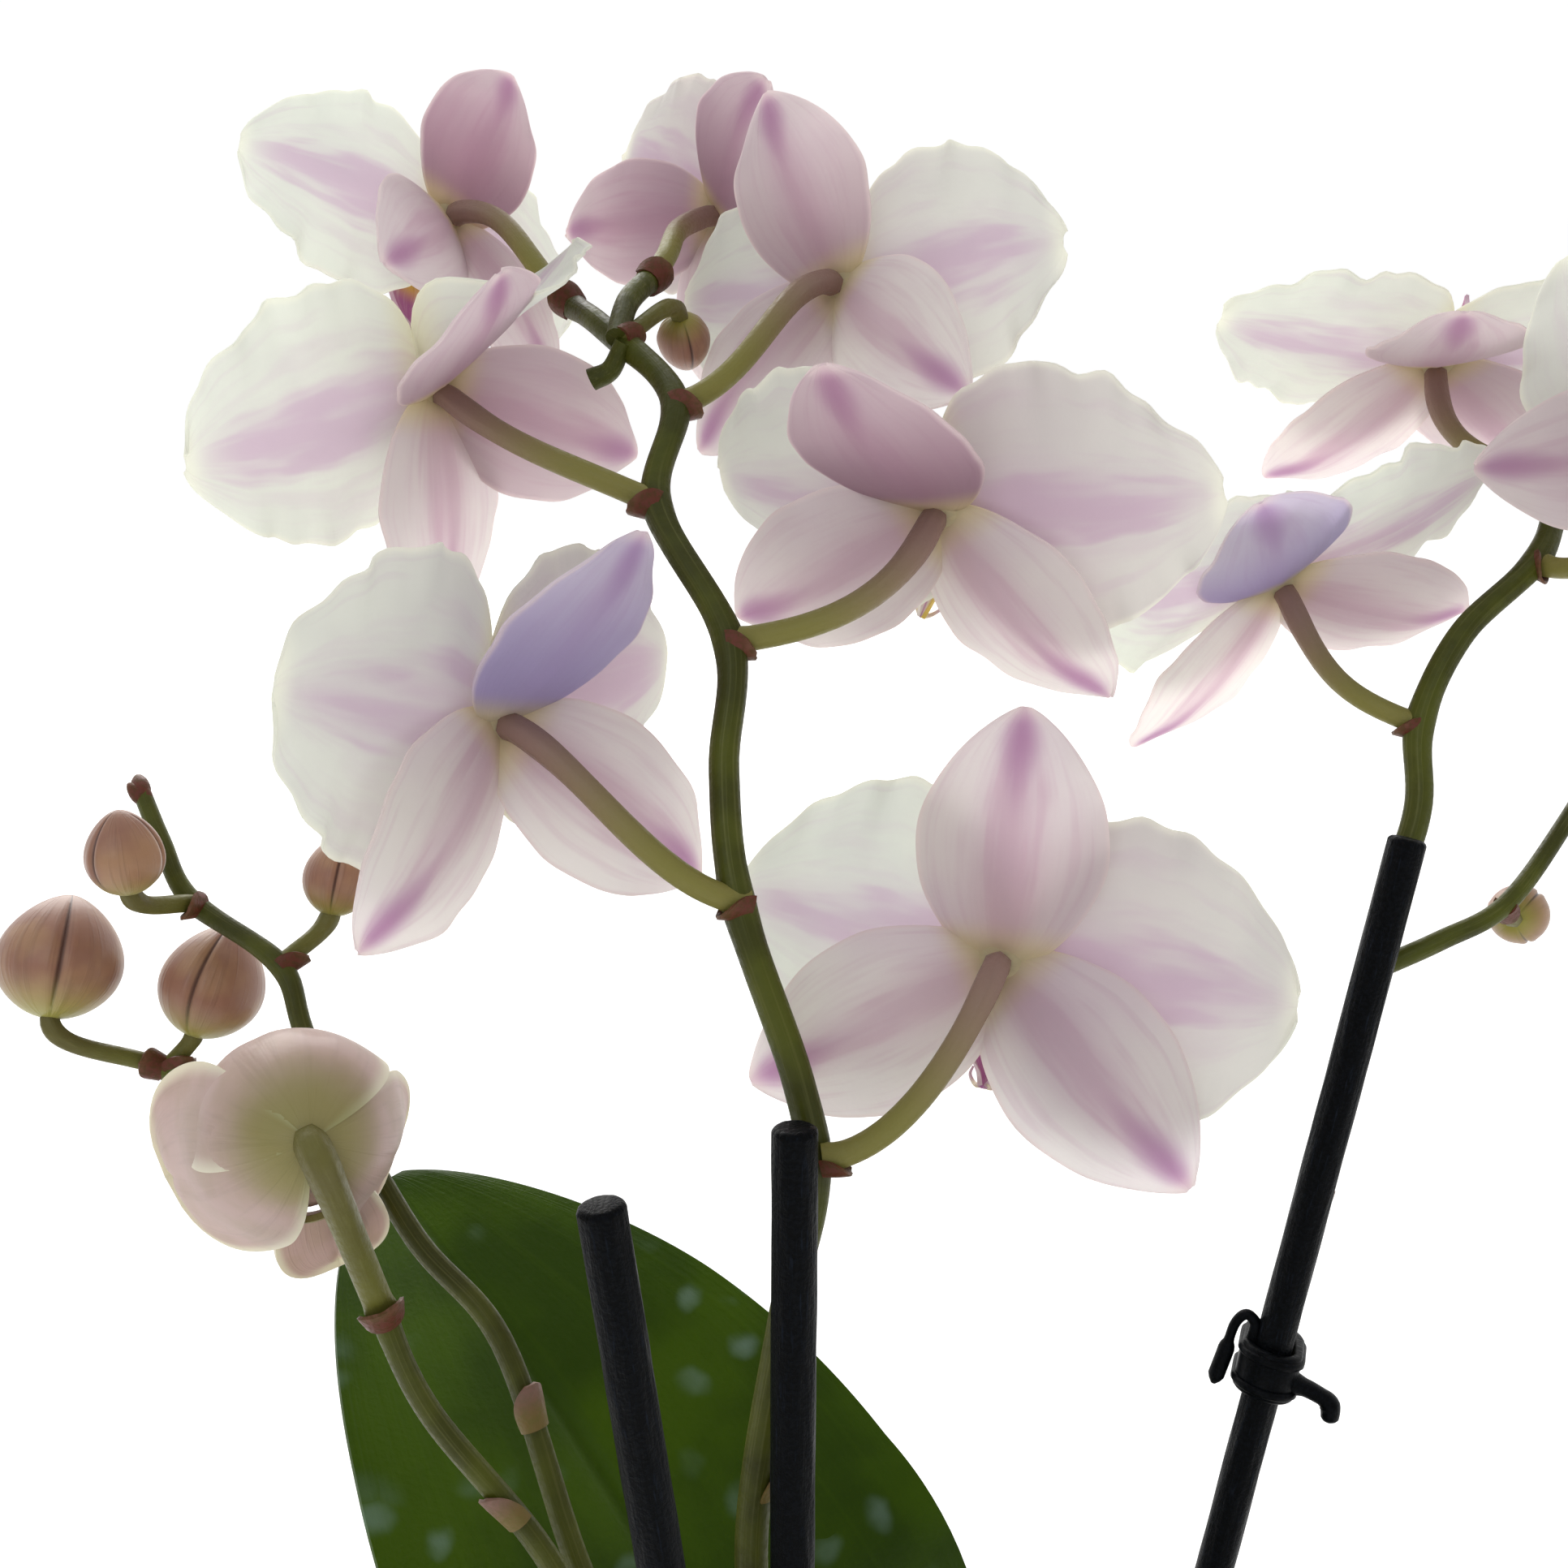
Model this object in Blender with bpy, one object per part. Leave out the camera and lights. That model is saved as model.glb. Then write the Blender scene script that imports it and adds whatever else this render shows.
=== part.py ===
"""A moth orchid with many small flowers, in a plain pot.

The frame has its origin at the middle of the pot's underside, +Z up. The
flowers face +Y, and the plant is seen from behind them, from -Y. Lengths in
this file are millimetres, and MM turns them into Blender's metres.
"""

import bmesh
import bpy
import numpy as np
from mathutils import Matrix, Vector

MM = 0.001
GAP = 0.3  # between pieces that touch

# Pot and what fills it
POT_TOP_DIAMETER = 124.0
POT_BASE_DIAMETER = 92.0
POT_HEIGHT = 112.0
POT_WALL = 4.0
POT_FLOOR = 6.0
RIM_HEIGHT = 10.0
RIM_OUT = 2.5
POT_SIDES = 32
BARK_BELOW_RIM = 12.0
BARK_LUMP = 2.2
CROWN_DIAMETER = 18.0
CROWN_SUNK = 16.0
CROWN_RISE = 16.0

# The plant's points further down are for bark that ends at this height and a crown this wide.
# The plant is raised to the bark it stands in, and what grows from the crown starts as far out as the crown is wider.
PLANT_BARK_HEIGHT = 100.0
PLANT_CROWN_DIAMETER = 18.0

# Stakes and clips
STAKE_DIAMETER = 6.0
STAKE_SIDES = 12
STAKE_FOOT_HEIGHT = 30.0
CLIP_WALL = 1.5
CLIP_HEIGHT = 8.0
CLIP_CLEARANCE = 0.4

# Spikes
CENTRE_STEM_DIAMETER = 5.4
RIGHT_STEM_DIAMETER = 6.2
BUD_STEM_DIAMETER = 4.4
STEM_TIP_DIAMETER = 3.7
PEDICEL_DIAMETER = 3.5
BUD_PEDICEL_DIAMETER = 2.6
PEDICEL_REACH = 13.0
PEDICEL_DROOP = 0.25
PEDICEL_NECK = 1.5  # straight length where it meets the flower
STEM_SIDES = 8
PEDICEL_SIDES = 6

# Flowers: length and width of each kind of tepal, and its angle from the right
TEPAL_THICKNESS = 1.0
TEPAL_TROUGH = 0.1  # how far its sides curve forwards, as a share of its half width
DORSAL_LENGTH = 34.0
DORSAL_WIDTH = 25.0
PETAL_LENGTH = 38.0
PETAL_WIDTH = 37.0
SEPAL_LENGTH = 37.0
SEPAL_WIDTH = 23.0
PETAL_ANGLE = 8.0
SEPAL_ANGLE = -48.0
CLAW_WIDTH = 4.0
WHORL_OFFSET = 1.1  # sepals lie this far behind the flower's middle, petals in front
HUB_RADIUS = 3.3
HUB_DEPTH = 1.2
COLUMN_LENGTH = 8.0
COLUMN_DIAMETER = 5.0
COLUMN_FOOT_RADII = (1.8, 2.0, 1.5)
LIP_LENGTH = 17.0
LIP_WIDTH = 10.0
LIP_THICKNESS = 1.2
LIP_WING = 8.0

# Leaves
LEAF_THICKNESS = 2.2
LEAF_FOOT = 0.07  # half width of the foot as a share of the leaf's width
ROOT_DIAMETER = 5.0

# Foot (where it stands on the pot's inside) and top of each stake
STAKES = {
    "left": ((4, -42), (-35.5, -5, 334)),
    "centre": ((-14, -34), (-12.6, 13.8, 333)),
    "right": ((14, 4), (84.5, 75.4, 348)),
}
# The side of each stake that its stem is tied to
TIED_SIDE = {"left": (-0.8, 0.6, 0.0), "centre": (0.0, 1.0, 0.0), "right": (0.36, 0.93, 0.0)}

# Flower: middle, yaw, pitch and roll of the way it faces, size, how far the
# tepals bend back (dorsal, left petal, right petal, left sepal, right sepal)
# and how far each turns in the flower's own plane (same order).
FLOWERS = {
    "flower_1": ((15, 32, 347), 14, -23, 5, 1.03, (3, -5, -1, 2, 1), (4, -2, 0, -13, 11)),
    "flower_2": ((-53, 42, 378), -56, 1, 11, 1.02, (35, 2, 1, 9, 32), (-5, -2, 2, -4, 8)),
    "flower_3": ((8, 62, 403), 29, 25, 2, 1.03, (25, -5, -6, 15, 0), (11, 13, -1, -18, -5)),
    "flower_4": ((-66, 81, 417), -54, 15, -28, 0.99, (38, -13, -7, 15, 25), (-4, -4, -7, 11, 4)),
    "flower_5": ((-5, 99, 430), 40, -17, -16, 0.93, (18, -3, -10, 8, 9), (12, -2, -7, -8, 6)),
    "flower_6": ((-72, 133, 438.5), -58, -23, 32, 0.92, (16, -18, -6, 20, 8), (-10, 6, 0, 3, 0)),
    "flower_7": ((-25, 140, 439), 40, -3, 31, 0.92, (22, -13, -4, 10, 4), (-12, 18, 0, -11, 0)),
    "flower_8": ((70, 111, 381), -30, 40, -24, 1.09, (4, 0, 0, 11, 18), (19, -20, 2, -1, 23)),
    "flower_9": ((101, 135, 415), 5, 52, -2, 1.03, (19, -4, -2, 14, 6), (7, -4, 0, -2, 0)),
    "flower_10": ((132.5, 90.5, 407.5), 20, 0, 38, 1.02, (6, -4, -3, 7, 4), (1, 1, -1, -2, 1)),
}

# Where each pedicel leaves its spike, and the way it leaves
CENTRE_PEDICELS = {
    "flower_1": ((-9, 19, 325), (1.0, 0.1, 0.05)),
    "flower_2": ((-19, 30, 357), (-0.8, -0.3, 0.25)),
    "flower_3": ((-21.5, 50, 387), (1.0, 0.1, 0.1)),
    "flower_4": ((-32, 65, 403), (-0.9, 0.1, 0.4)),
    "flower_5": ((-30, 77, 415), (0.8, 0.2, 0.2)),
    "flower_6": ((-48, 110.5, 426.3), (-0.7, 0.5, 0.5)),
    "flower_7": ((-35.5, 105, 430.5), (0.5, 0.8, 0.5)),
}
RIGHT_PEDICELS = {
    "flower_8": ((89.5, 90, 362), (-0.9, 0.2, 0.3)),
    "flower_9": ((118.5, 117, 395.5), (-0.5, -0.3, 0.3)),
    "flower_10": ((111.5, 105.5, 385.5), (0.45, -0.95, -0.25)),
}

# Spikes as points on a smooth curve. "tied" is a height where the stem lies against its stake.
CENTRE_SPIKE = [
    (-4.5, -9.5, 113), (-9, -10, 132), ("tied", 158), ("tied", 185), ("tied", 215),
    (-16, 6.5, 240), (-18.5, 12, 268), (-14, 18, 300), (-10, 20.5, 320), (-12, 23, 334),
    (-20, 30, 357), (-22, 40, 372), (-21.5, 50, 387), (-32, 65, 403), (-30, 78, 416), (-41.5, 95, 424.2), (-48.3, 111.5, 426.3),
]
CENTRE_TOP_BRANCH = [(-39, 88, 423.5), (-38, 97, 428), (-35, 106, 431)]
CENTRE_TOP_STUB = [(-38, 87, 423), (-40, 87, 419), (-43, 87, 417.5)]
RIGHT_SPIKE = [
    (10, 7.5, 114), (18, 22, 130), (30, 35, 148), ("tied", 172), ("tied", 228), ("tied", 265), ("tied", 300), ("tied", 335),
    (88.5, 83.5, 350), (89.5, 90, 362.5), (97, 96.5, 375.5), (111.5, 105.5, 386), (119, 117.5, 396),
    (129, 131, 404), (140, 142, 411),
]
SIDE_BRANCH = [(82, 77, 324), (93, 78, 329), (104, 81, 334), (116, 90, 345), (126, 98, 358)]
LEFT_FRONT_SPIKE = [
    (-9.8, -4, 113), (-18, -9, 135), (-22, -14, 162), ("tied", 190), ("tied", 215), (-33, -8, 250),
    (-44, -2, 277), (-59, 1, 299), (-65, 4, 313), (-71, 15, 317), (-82, 31, 320), (-94, 42, 322), (-105, 45, 324),
]
LEFT_BACK_SPIKE = [
    (-10, 1, 117), (-19, -1, 138), (-26, -4, 165), (-30, -6, 190), (-31, -6, 215), (-33, -2.5, 250),
    (-42, 4, 273), (-52, 15, 299), (-65, 23, 311), (-80, 36, 332), (-85, 42, 342),
    (-99, 49, 349), (-104, 54, 356), (-108, 59, 362),
]

# Bud: where its pedicel leaves the spike, its middle, the way its tip points, length, width
BUDS = {
    "bud_1": ((-98, 48.5, 348.5), (-104, 40, 360), (-0.05, 0.1, 1), 12, 10.5),
    "bud_2": ((-105, 45, 324), (-118, 47, 341), (0.1, 0.7, 1), 18, 17.5),
    "bud_3": ((-104, 45, 324), (-98, 51, 335), (0.35, 0.5, 1), 17, 15),
    "bud_4": ((-64.5, 3.5, 312), (-75.5, 12, 334), (-0.35, 0.85, -0.4), 32, 28),
    "bud_5": ((-85, 42, 342), (-78, 51, 352), (0.2, 0.5, 1), 12, 10),
    "bud_6": ((-38.5, 88, 423.5), (-30, 107, 421), (0.1, 0.5, -0.9), 10, 8.5),
    "bud_7": ((104, 81, 334), (112, 93, 327), (0.5, 0.8, -0.2), 12, 10),
    "bud_8": ((125, 97.5, 357), (131, 104, 372), (0.3, 0.5, 1), 14, 12),
}

# Leaf: points of its middle line, width, and the way its width lies
LEAVES = {
    "leaf_1": (
        [(-7, 8, 110), (-13, 17, 155), (-16, 29, 203), (-31, 36, 233), (-55, 59, 257), (-86, 91, 276)],
        84, (0.8, 0.6, 0.0),
    ),
    "leaf_2": (
        [(9, -5, 108), (30, -14, 145), (62, -29, 178), (100, -46, 188), (135, -62, 172), (158, -72, 150)],
        82, (0.43, 0.9, 0.0),
    ),
    "leaf_3": (
        [(-10.5, 1, 104), (-33, 6, 118), (-68, 13, 135), (-104, 19, 136), (-134, 24, 121), (-151, 27, 104)],
        78, (0.18, 0.98, 0.0),
    ),
    "leaf_4": (
        [(6, 13, 104), (5, 34, 121), (2, 63, 137), (-2, 95, 137), (-5, 125, 124), (-7, 143, 106)],
        74, (-1.0, -0.05, 0.0),
    ),
    "leaf_5": ([(1, -1, 118.5), (4, -3, 138), (9, -7, 160), (15, -12, 178), (22, -17, 190)], 36, (-0.6, 0.8, 0.0)),
}
ROOTS = {
    "root_1": [(10.2, 3.2, 105.8), (22, 8, 105.8), (36, 11, 105.6), (43, 12, 105.4)],
    "root_2": [(-1, -10.6, 105.8), (3, -22, 105.8), (9, -34, 105.6), (15, -43, 105.4)],
}


def clear_scene():
    for obj in list(bpy.data.objects):
        bpy.data.objects.remove(obj, do_unlink=True)


def material(name, colour, roughness, metallic=0.0):
    made = bpy.data.materials.new(name)
    made.use_nodes = True
    shader = made.node_tree.nodes["Principled BSDF"]
    shader.inputs["Base Color"].default_value = (*colour, 1.0)
    shader.inputs["Roughness"].default_value = roughness
    shader.inputs["Metallic"].default_value = metallic
    return made


def add_object(name, bm, finish, hidden=False):
    """Closes bm into an object whose mesh is in metres, with smooth round faces."""
    bmesh.ops.recalc_face_normals(bm, faces=bm.faces)
    bmesh.ops.scale(bm, vec=(MM, MM, MM), verts=bm.verts)
    mesh = bpy.data.meshes.new(name)
    bm.to_mesh(mesh)
    bm.free()
    mesh.materials.append(finish)
    mesh.shade_smooth()
    mesh.set_sharp_from_angle(angle=0.7)
    obj = bpy.data.objects.new(name, mesh)
    bpy.context.scene.collection.objects.link(obj)
    if hidden:
        obj.hide_render = True
        obj.display_type = "WIRE"
    return obj


def boolean(obj, other, operation):
    step = obj.modifiers.new(other.name, "BOOLEAN")
    step.operation = operation
    step.object = other
    step.solver = "EXACT"


def unit(vector):
    vector = np.asarray(vector, float)
    return vector / np.linalg.norm(vector)


def smooth_curve(points, per_span):
    """A Catmull-Rom curve through the points."""
    points = np.asarray(points, float)
    ends = np.vstack([2 * points[0] - points[1], points, 2 * points[-1] - points[-2]])
    made = []
    for i in range(len(points) - 1):
        a, b, c, d = ends[i : i + 4]
        for t in np.arange(per_span) / per_span:
            made.append(
                0.5 * (2 * b + (c - a) * t + (2 * a - 5 * b + 4 * c - d) * t**2
                       + (3 * b - a - 3 * c + d) * t**3)
            )
    made.append(points[-1])
    return np.array(made)


def bezier(a, b, c, d, steps):
    """A cubic curve from a to d that leaves towards b and arrives from c."""
    t = np.linspace(0, 1, steps)[:, None]
    a, b, c, d = (np.asarray(p, float) for p in (a, b, c, d))
    return (1 - t) ** 3 * a + 3 * (1 - t) ** 2 * t * b + 3 * (1 - t) * t**2 * c + t**3 * d


def tube_bmesh(path, radii, sides):
    """A round tube along the path, its rings turned as little as possible, with closed ends."""
    path = np.asarray(path, float)
    radii = np.broadcast_to(radii, len(path))
    along = np.gradient(path, axis=0)
    along /= np.linalg.norm(along, axis=1)[:, None]
    side = unit(np.cross(along[0], (0.3, 0.9, 0.2)))
    angles = np.linspace(0, 2 * np.pi, sides, endpoint=False)
    bm = bmesh.new()
    rings = []
    for point, direction, radius in zip(path, along, radii):
        side = unit(side - direction * side.dot(direction))
        up = np.cross(direction, side)
        ring = point + radius * (np.cos(angles)[:, None] * side + np.sin(angles)[:, None] * up)
        rings.append([bm.verts.new(corner) for corner in ring])
    join_rings(bm, rings)
    bm.faces.new(rings[0])
    bm.faces.new(rings[-1])
    return bm


def join_rings(bm, rings):
    for first, second in zip(rings, rings[1:]):
        for i in range(len(first)):
            j = (i + 1) % len(first)
            bm.faces.new((first[i], first[j], second[j], second[i]))


def turned_bmesh(profile, sides):
    """A body of revolution about Z. Profile points are (radius, height), and its ends lie on the axis."""
    angles = np.linspace(0, 2 * np.pi, sides, endpoint=False)
    bm = bmesh.new()
    first = bm.verts.new((0, 0, profile[0][1]))
    last = bm.verts.new((0, 0, profile[-1][1]))
    rings = [
        [bm.verts.new((radius * np.cos(a), radius * np.sin(a), height)) for a in angles]
        for radius, height in profile[1:-1]
    ]
    join_rings(bm, rings)
    for i in range(sides):
        j = (i + 1) % sides
        bm.faces.new((first, rings[0][i], rings[0][j]))
        bm.faces.new((last, rings[-1][j], rings[-1][i]))
    return bm


def sheet_bmesh(middle, normals, thickness):
    """A curved sheet: a grid of points, thickened by half each way along the grid's normals."""
    rows, columns = middle.shape[:2]
    bm = bmesh.new()
    front = middle - normals * thickness / 2
    back = middle + normals * thickness / 2
    grids = []
    for grid in (front, back):
        grids.append([[bm.verts.new(grid[i, j]) for j in range(columns)] for i in range(rows)])
    for grid in grids:
        for i in range(rows - 1):
            for j in range(columns - 1):
                bm.faces.new((grid[i][j], grid[i + 1][j], grid[i + 1][j + 1], grid[i][j + 1]))
    edge = [(0, j) for j in range(columns)]
    edge += [(i, columns - 1) for i in range(1, rows)]
    edge += [(rows - 1, j) for j in range(columns - 2, -1, -1)]
    edge += [(i, 0) for i in range(rows - 2, 0, -1)]
    for (i, j), (k, m) in zip(edge, edge[1:] + edge[:1]):
        bm.faces.new((grids[0][i][j], grids[0][k][m], grids[1][k][m], grids[1][i][j]))
    return bm


def grid_normals(grid):
    """Unit normals of a grid of points, from its two sets of tangents."""
    along = np.gradient(grid, axis=0)
    across = np.gradient(grid, axis=1)
    normals = np.cross(along, across)
    return normals / np.linalg.norm(normals, axis=2)[:, :, None]


# Pot, bark and crown


def pot_radius(height):
    """Outer radius of the pot's tapered wall at a height."""
    share = height / POT_HEIGHT
    return (POT_BASE_DIAMETER * (1 - share) + POT_TOP_DIAMETER * share) / 2 - RIM_OUT * share


def make_pot(finish):
    rim_foot = POT_HEIGHT - RIM_HEIGHT
    inside = POT_TOP_DIAMETER / 2 - RIM_OUT - POT_WALL
    profile = [
        (0, 0),
        (POT_BASE_DIAMETER / 2 - 1.5, 0),
        (POT_BASE_DIAMETER / 2, 1.5),
        (pot_radius(rim_foot - 2), rim_foot - 2),
        (POT_TOP_DIAMETER / 2, rim_foot),
        (POT_TOP_DIAMETER / 2, POT_HEIGHT - 1),
        (POT_TOP_DIAMETER / 2 - 1, POT_HEIGHT),
        (inside + 1, POT_HEIGHT),
        (inside, POT_HEIGHT - 1),
        (pot_radius(POT_FLOOR) - POT_WALL, POT_FLOOR),
        (0, POT_FLOOR),
    ]
    add_object("pot", turned_bmesh(profile, POT_SIDES), finish)


def inner_radius(height):
    """Radius of the pot's inside at a height."""
    top = POT_TOP_DIAMETER / 2 - RIM_OUT - POT_WALL
    floor = pot_radius(POT_FLOOR) - POT_WALL
    return floor + (top - floor) * (height - POT_FLOOR) / (POT_HEIGHT - 1 - POT_FLOOR)


def bark_height():
    return POT_HEIGHT - BARK_BELOW_RIM


def make_bark(finish, rods):
    """Fills the pot, lumpy on top, with a clear hole round the crown and each stake."""
    top = bark_height()
    floor = POT_FLOOR + GAP
    edge = inner_radius(top) - GAP
    rings = [edge * share for share in (0.94, 0.72, 0.5, 0.28)]
    profile = [(0, floor), (inner_radius(floor) - 2 * GAP, floor), (edge - GAP, top - BARK_LUMP)]
    profile += [(radius, top) for radius in rings] + [(0, top)]
    bm = turned_bmesh(profile, POT_SIDES)
    for vert in bm.verts:
        if vert.co.z > top - 0.1:
            x, y = vert.co.x, vert.co.y
            vert.co.z += BARK_LUMP * np.sin(x * 0.31 + 1.3 * np.sin(y * 0.17)) * np.cos(y * 0.27) - 0.5
    bark = add_object("bark", bm, finish)
    for name, path, radius in rods:
        cutter = add_object(name + "_hole", tube_bmesh(path, radius + GAP, STAKE_SIDES), finish, hidden=True)
        boolean(bark, cutter, "DIFFERENCE")


def crown_profile():
    top = bark_height()
    radius = CROWN_DIAMETER / 2
    return [
        (0, top - CROWN_SUNK),
        (radius * 0.5, top - CROWN_SUNK),
        (radius * 0.95, top - CROWN_SUNK * 0.5),
        (radius, top + 2),
        (radius * 0.85, top + CROWN_RISE * 0.6),
        (radius * 0.45, top + CROWN_RISE),
        (0, top + CROWN_RISE + 1),
    ]


# Stakes and clips


def plant_rise():
    return bark_height() - PLANT_BARK_HEIGHT


def from_crown(points):
    """The points, with the first one as much farther out as the crown is wider than the plant's own."""
    moved = np.array(points, float)
    moved[0, :2] *= CROWN_DIAMETER / PLANT_CROWN_DIAMETER
    return moved


def stake_axis(name):
    """The stake's two ends, with its foot kept clear of the pot's wall."""
    (x, y), top = STAKES[name]
    room = inner_radius(STAKE_FOOT_HEIGHT + plant_rise()) - STAKE_DIAMETER / 2 - GAP
    inward = min(1.0, room / np.hypot(x, y))
    return np.array((x * inward, y * inward, STAKE_FOOT_HEIGHT), float), np.array(top, float)


def stake_point(name, height):
    foot, top = stake_axis(name)
    return foot + (top - foot) * (height - foot[2]) / (top[2] - foot[2])


def make_stake(name, finish):
    foot, top = stake_axis(name)
    bevel = 0.6 * unit(top - foot)
    radius = STAKE_DIAMETER / 2
    path = [foot, top - bevel, top]
    add_object("stake_" + name, tube_bmesh(path, [radius, radius, radius - 0.5], STAKE_SIDES), finish)


def curve_point(path, height):
    """The point of a rising curve at a height."""
    order = np.argsort(path[:, 2], kind="stable")
    return np.array([np.interp(height, path[order, 2], path[order, k]) for k in range(3)])


def slot_bmesh(centre, spread, axis, radius, length, sides=16):
    """A prism along axis whose outline is two half circles of this radius, joined by straight sides."""
    half = np.linalg.norm(spread) / 2
    x_axis = unit(spread)
    y_axis = np.cross(axis, x_axis)
    angles = np.linspace(-np.pi / 2, np.pi / 2, sides // 2 + 1)
    right = [(half + radius * np.cos(a), radius * np.sin(a)) for a in angles]
    left = [(-x, -y) for x, y in right]
    bm = bmesh.new()
    rings = []
    for end in (-length / 2, length / 2):
        rings.append(
            [bm.verts.new(centre + x * x_axis + y * y_axis + end * axis) for x, y in right + left]
        )
    join_rings(bm, rings)
    bm.faces.new(rings[0])
    bm.faces.new(rings[1])
    return bm


def make_clip(name, stake, stem, height, tab_turn, finish):
    """A snap ring round the stake and its stem, with a thumb tab and a hooked latch arm on its two sides."""
    foot, top = stake_axis(stake)
    axis = unit(top - foot)
    at_stake = stake_point(stake, height)
    at_stem = curve_point(stem, height)
    spread = at_stem - at_stake
    spread -= axis * spread.dot(axis)
    centre = at_stake + spread / 2
    inner = STAKE_DIAMETER / 2 + CLIP_CLEARANCE
    outer = inner + CLIP_WALL
    side = np.cross(axis, unit(spread)) * tab_turn
    ring = add_object(name, slot_bmesh(centre, spread, axis, outer, CLIP_HEIGHT), finish)
    hole = slot_bmesh(centre, spread, axis, inner, CLIP_HEIGHT * 2)
    boolean(ring, add_object(name + "_hole", hole, finish, hidden=True), "DIFFERENCE")
    start = at_stake + side * (outer - 0.5) - axis
    tab = np.array([start, start + side * 4 - axis, start + side * 7 - axis * 3.5])
    tab_body = add_object(name + "_tab", tube_bmesh(tab, [1.6, 1.6, 1.9], 8), finish, hidden=True)
    boolean(ring, tab_body, "UNION")
    start = at_stake - side * (outer - 0.5) + axis * 2
    arm = bezier(start, start - side * 2 + axis * 6, start - side * 4.5 + axis * 2, start - side * 4.5 - axis * 6, 7)
    arm_radii = [1.0, 0.9, 0.8, 0.8, 0.9, 1.2, 1.2]
    arm_body = add_object(name + "_arm", tube_bmesh(arm, arm_radii, 8), finish, hidden=True)
    boolean(ring, arm_body, "UNION")


# Spikes


def taper(count, thick, thin):
    return np.linspace(thick, thin, count) / 2


def flower_axes(name):
    """The flower's own axes in the world, as rows: right, up and back, seen from behind it."""
    yaw, pitch, roll = np.radians(FLOWERS[name][1:4])
    face = np.array((np.sin(yaw) * np.cos(pitch), np.cos(yaw) * np.cos(pitch), np.sin(pitch)))
    level = unit(np.cross(face, (0, 0, 1)))
    upright = np.cross(level, face)
    up = upright * np.cos(roll) + level * np.sin(roll)
    right = level * np.cos(roll) - upright * np.sin(roll)
    return np.array((right, up, -face))


def flower_pedicel(name, origin, leaving):
    """From the spike to the back of the flower's hub, drooping as it leaves the flower."""
    middle = np.asarray(FLOWERS[name][0], float)
    back = flower_axes(name)[2]
    end = middle + back * (WHORL_OFFSET + HUB_DEPTH + 2 * GAP)
    neck = end + back * PEDICEL_NECK
    droop = back - np.array((0, 0, PEDICEL_DROOP))
    start = np.asarray(origin, float)
    curve = bezier(start, start + unit(leaving) * PEDICEL_REACH, neck + droop * PEDICEL_REACH, neck, 6)
    return np.vstack([curve, end])


def bud_pedicel(name):
    origin, middle, tip, length, _ = BUDS[name]
    end = np.asarray(middle, float) - unit(tip) * (length / 2 + GAP)
    reach = np.linalg.norm(end - np.asarray(origin)) / 3
    return bezier(origin, origin + unit(end - np.asarray(origin)) * reach, end - unit(tip) * reach, end, 6)


def make_spike(name, path, radii, branches, finish):
    """A stem with its side growths grown into it, as one body."""
    spike = add_object(name, tube_bmesh(path, radii, STEM_SIDES), finish)
    for number, (branch, branch_radii, sides) in enumerate(branches):
        body = tube_bmesh(branch, branch_radii, sides)
        helper = add_object(f"{name}_branch_{number}", body, finish, hidden=True)
        boolean(spike, helper, "UNION")


def pedicels(origins, buds):
    found = []
    for name, (origin, leaving) in origins.items():
        path = flower_pedicel(name, origin, leaving)
        found.append((path, taper(len(path), PEDICEL_DIAMETER, PEDICEL_DIAMETER * 0.9), PEDICEL_SIDES))
    for name in buds:
        path = bud_pedicel(name)
        found.append((path, taper(len(path), BUD_PEDICEL_DIAMETER, BUD_PEDICEL_DIAMETER * 0.85), PEDICEL_SIDES))
    return found


def spike_path(points, stake, diameter):
    """The spike's points, where a tied one lies beside the stake with its clip's clearance."""
    reach = STAKE_DIAMETER / 2 + diameter / 2 + CLIP_CLEARANCE + GAP
    placed = []
    for point in points:
        if point[0] == "tied":
            placed.append(stake_point(stake, point[1]) + unit(TIED_SIDE[stake]) * reach)
        else:
            placed.append(np.array(point, float))
    return smooth_curve(from_crown(placed), 2)


# Flowers


def tepal_outline(share, width, fullness, blunt):
    """Half width of a tepal at a share of its length, from a narrow claw to a rounded tip."""
    claw = CLAW_WIDTH / 2 * (1 - share)
    return claw + width / 2 * np.sin(np.pi * share**fullness) ** blunt


def tepal_grid(length, width, angle, bend, offset, size, fullness, blunt, rows, columns):
    """Points of a tepal's middle surface in the flower's axes, bent back from its foot."""
    share = np.linspace(0.0, 0.985, rows)[:, None]
    across = np.linspace(-1, 1, columns)[None, :]
    half = tepal_outline(share, width, fullness, blunt)
    out = share * length * np.cos(bend)
    back = share * length * np.sin(bend) - TEPAL_TROUGH * half * across**2
    side = half * across + 0 * share
    radius = (out + 0 * across) * size
    side = side * size
    x = radius * np.cos(angle) - side * np.sin(angle)
    y = radius * np.sin(angle) + side * np.cos(angle)
    z = offset + (back + 0 * across) * size
    return np.stack([x, y, z], axis=2)


def place_flower(name, points):
    """Points in the flower's axes, put in the world."""
    return np.asarray(FLOWERS[name][0], float) + points @ flower_axes(name)


def tepal_bmesh(flower, grid):
    placed = place_flower(flower, grid)
    return sheet_bmesh(placed, grid_normals(placed), TEPAL_THICKNESS)


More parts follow.
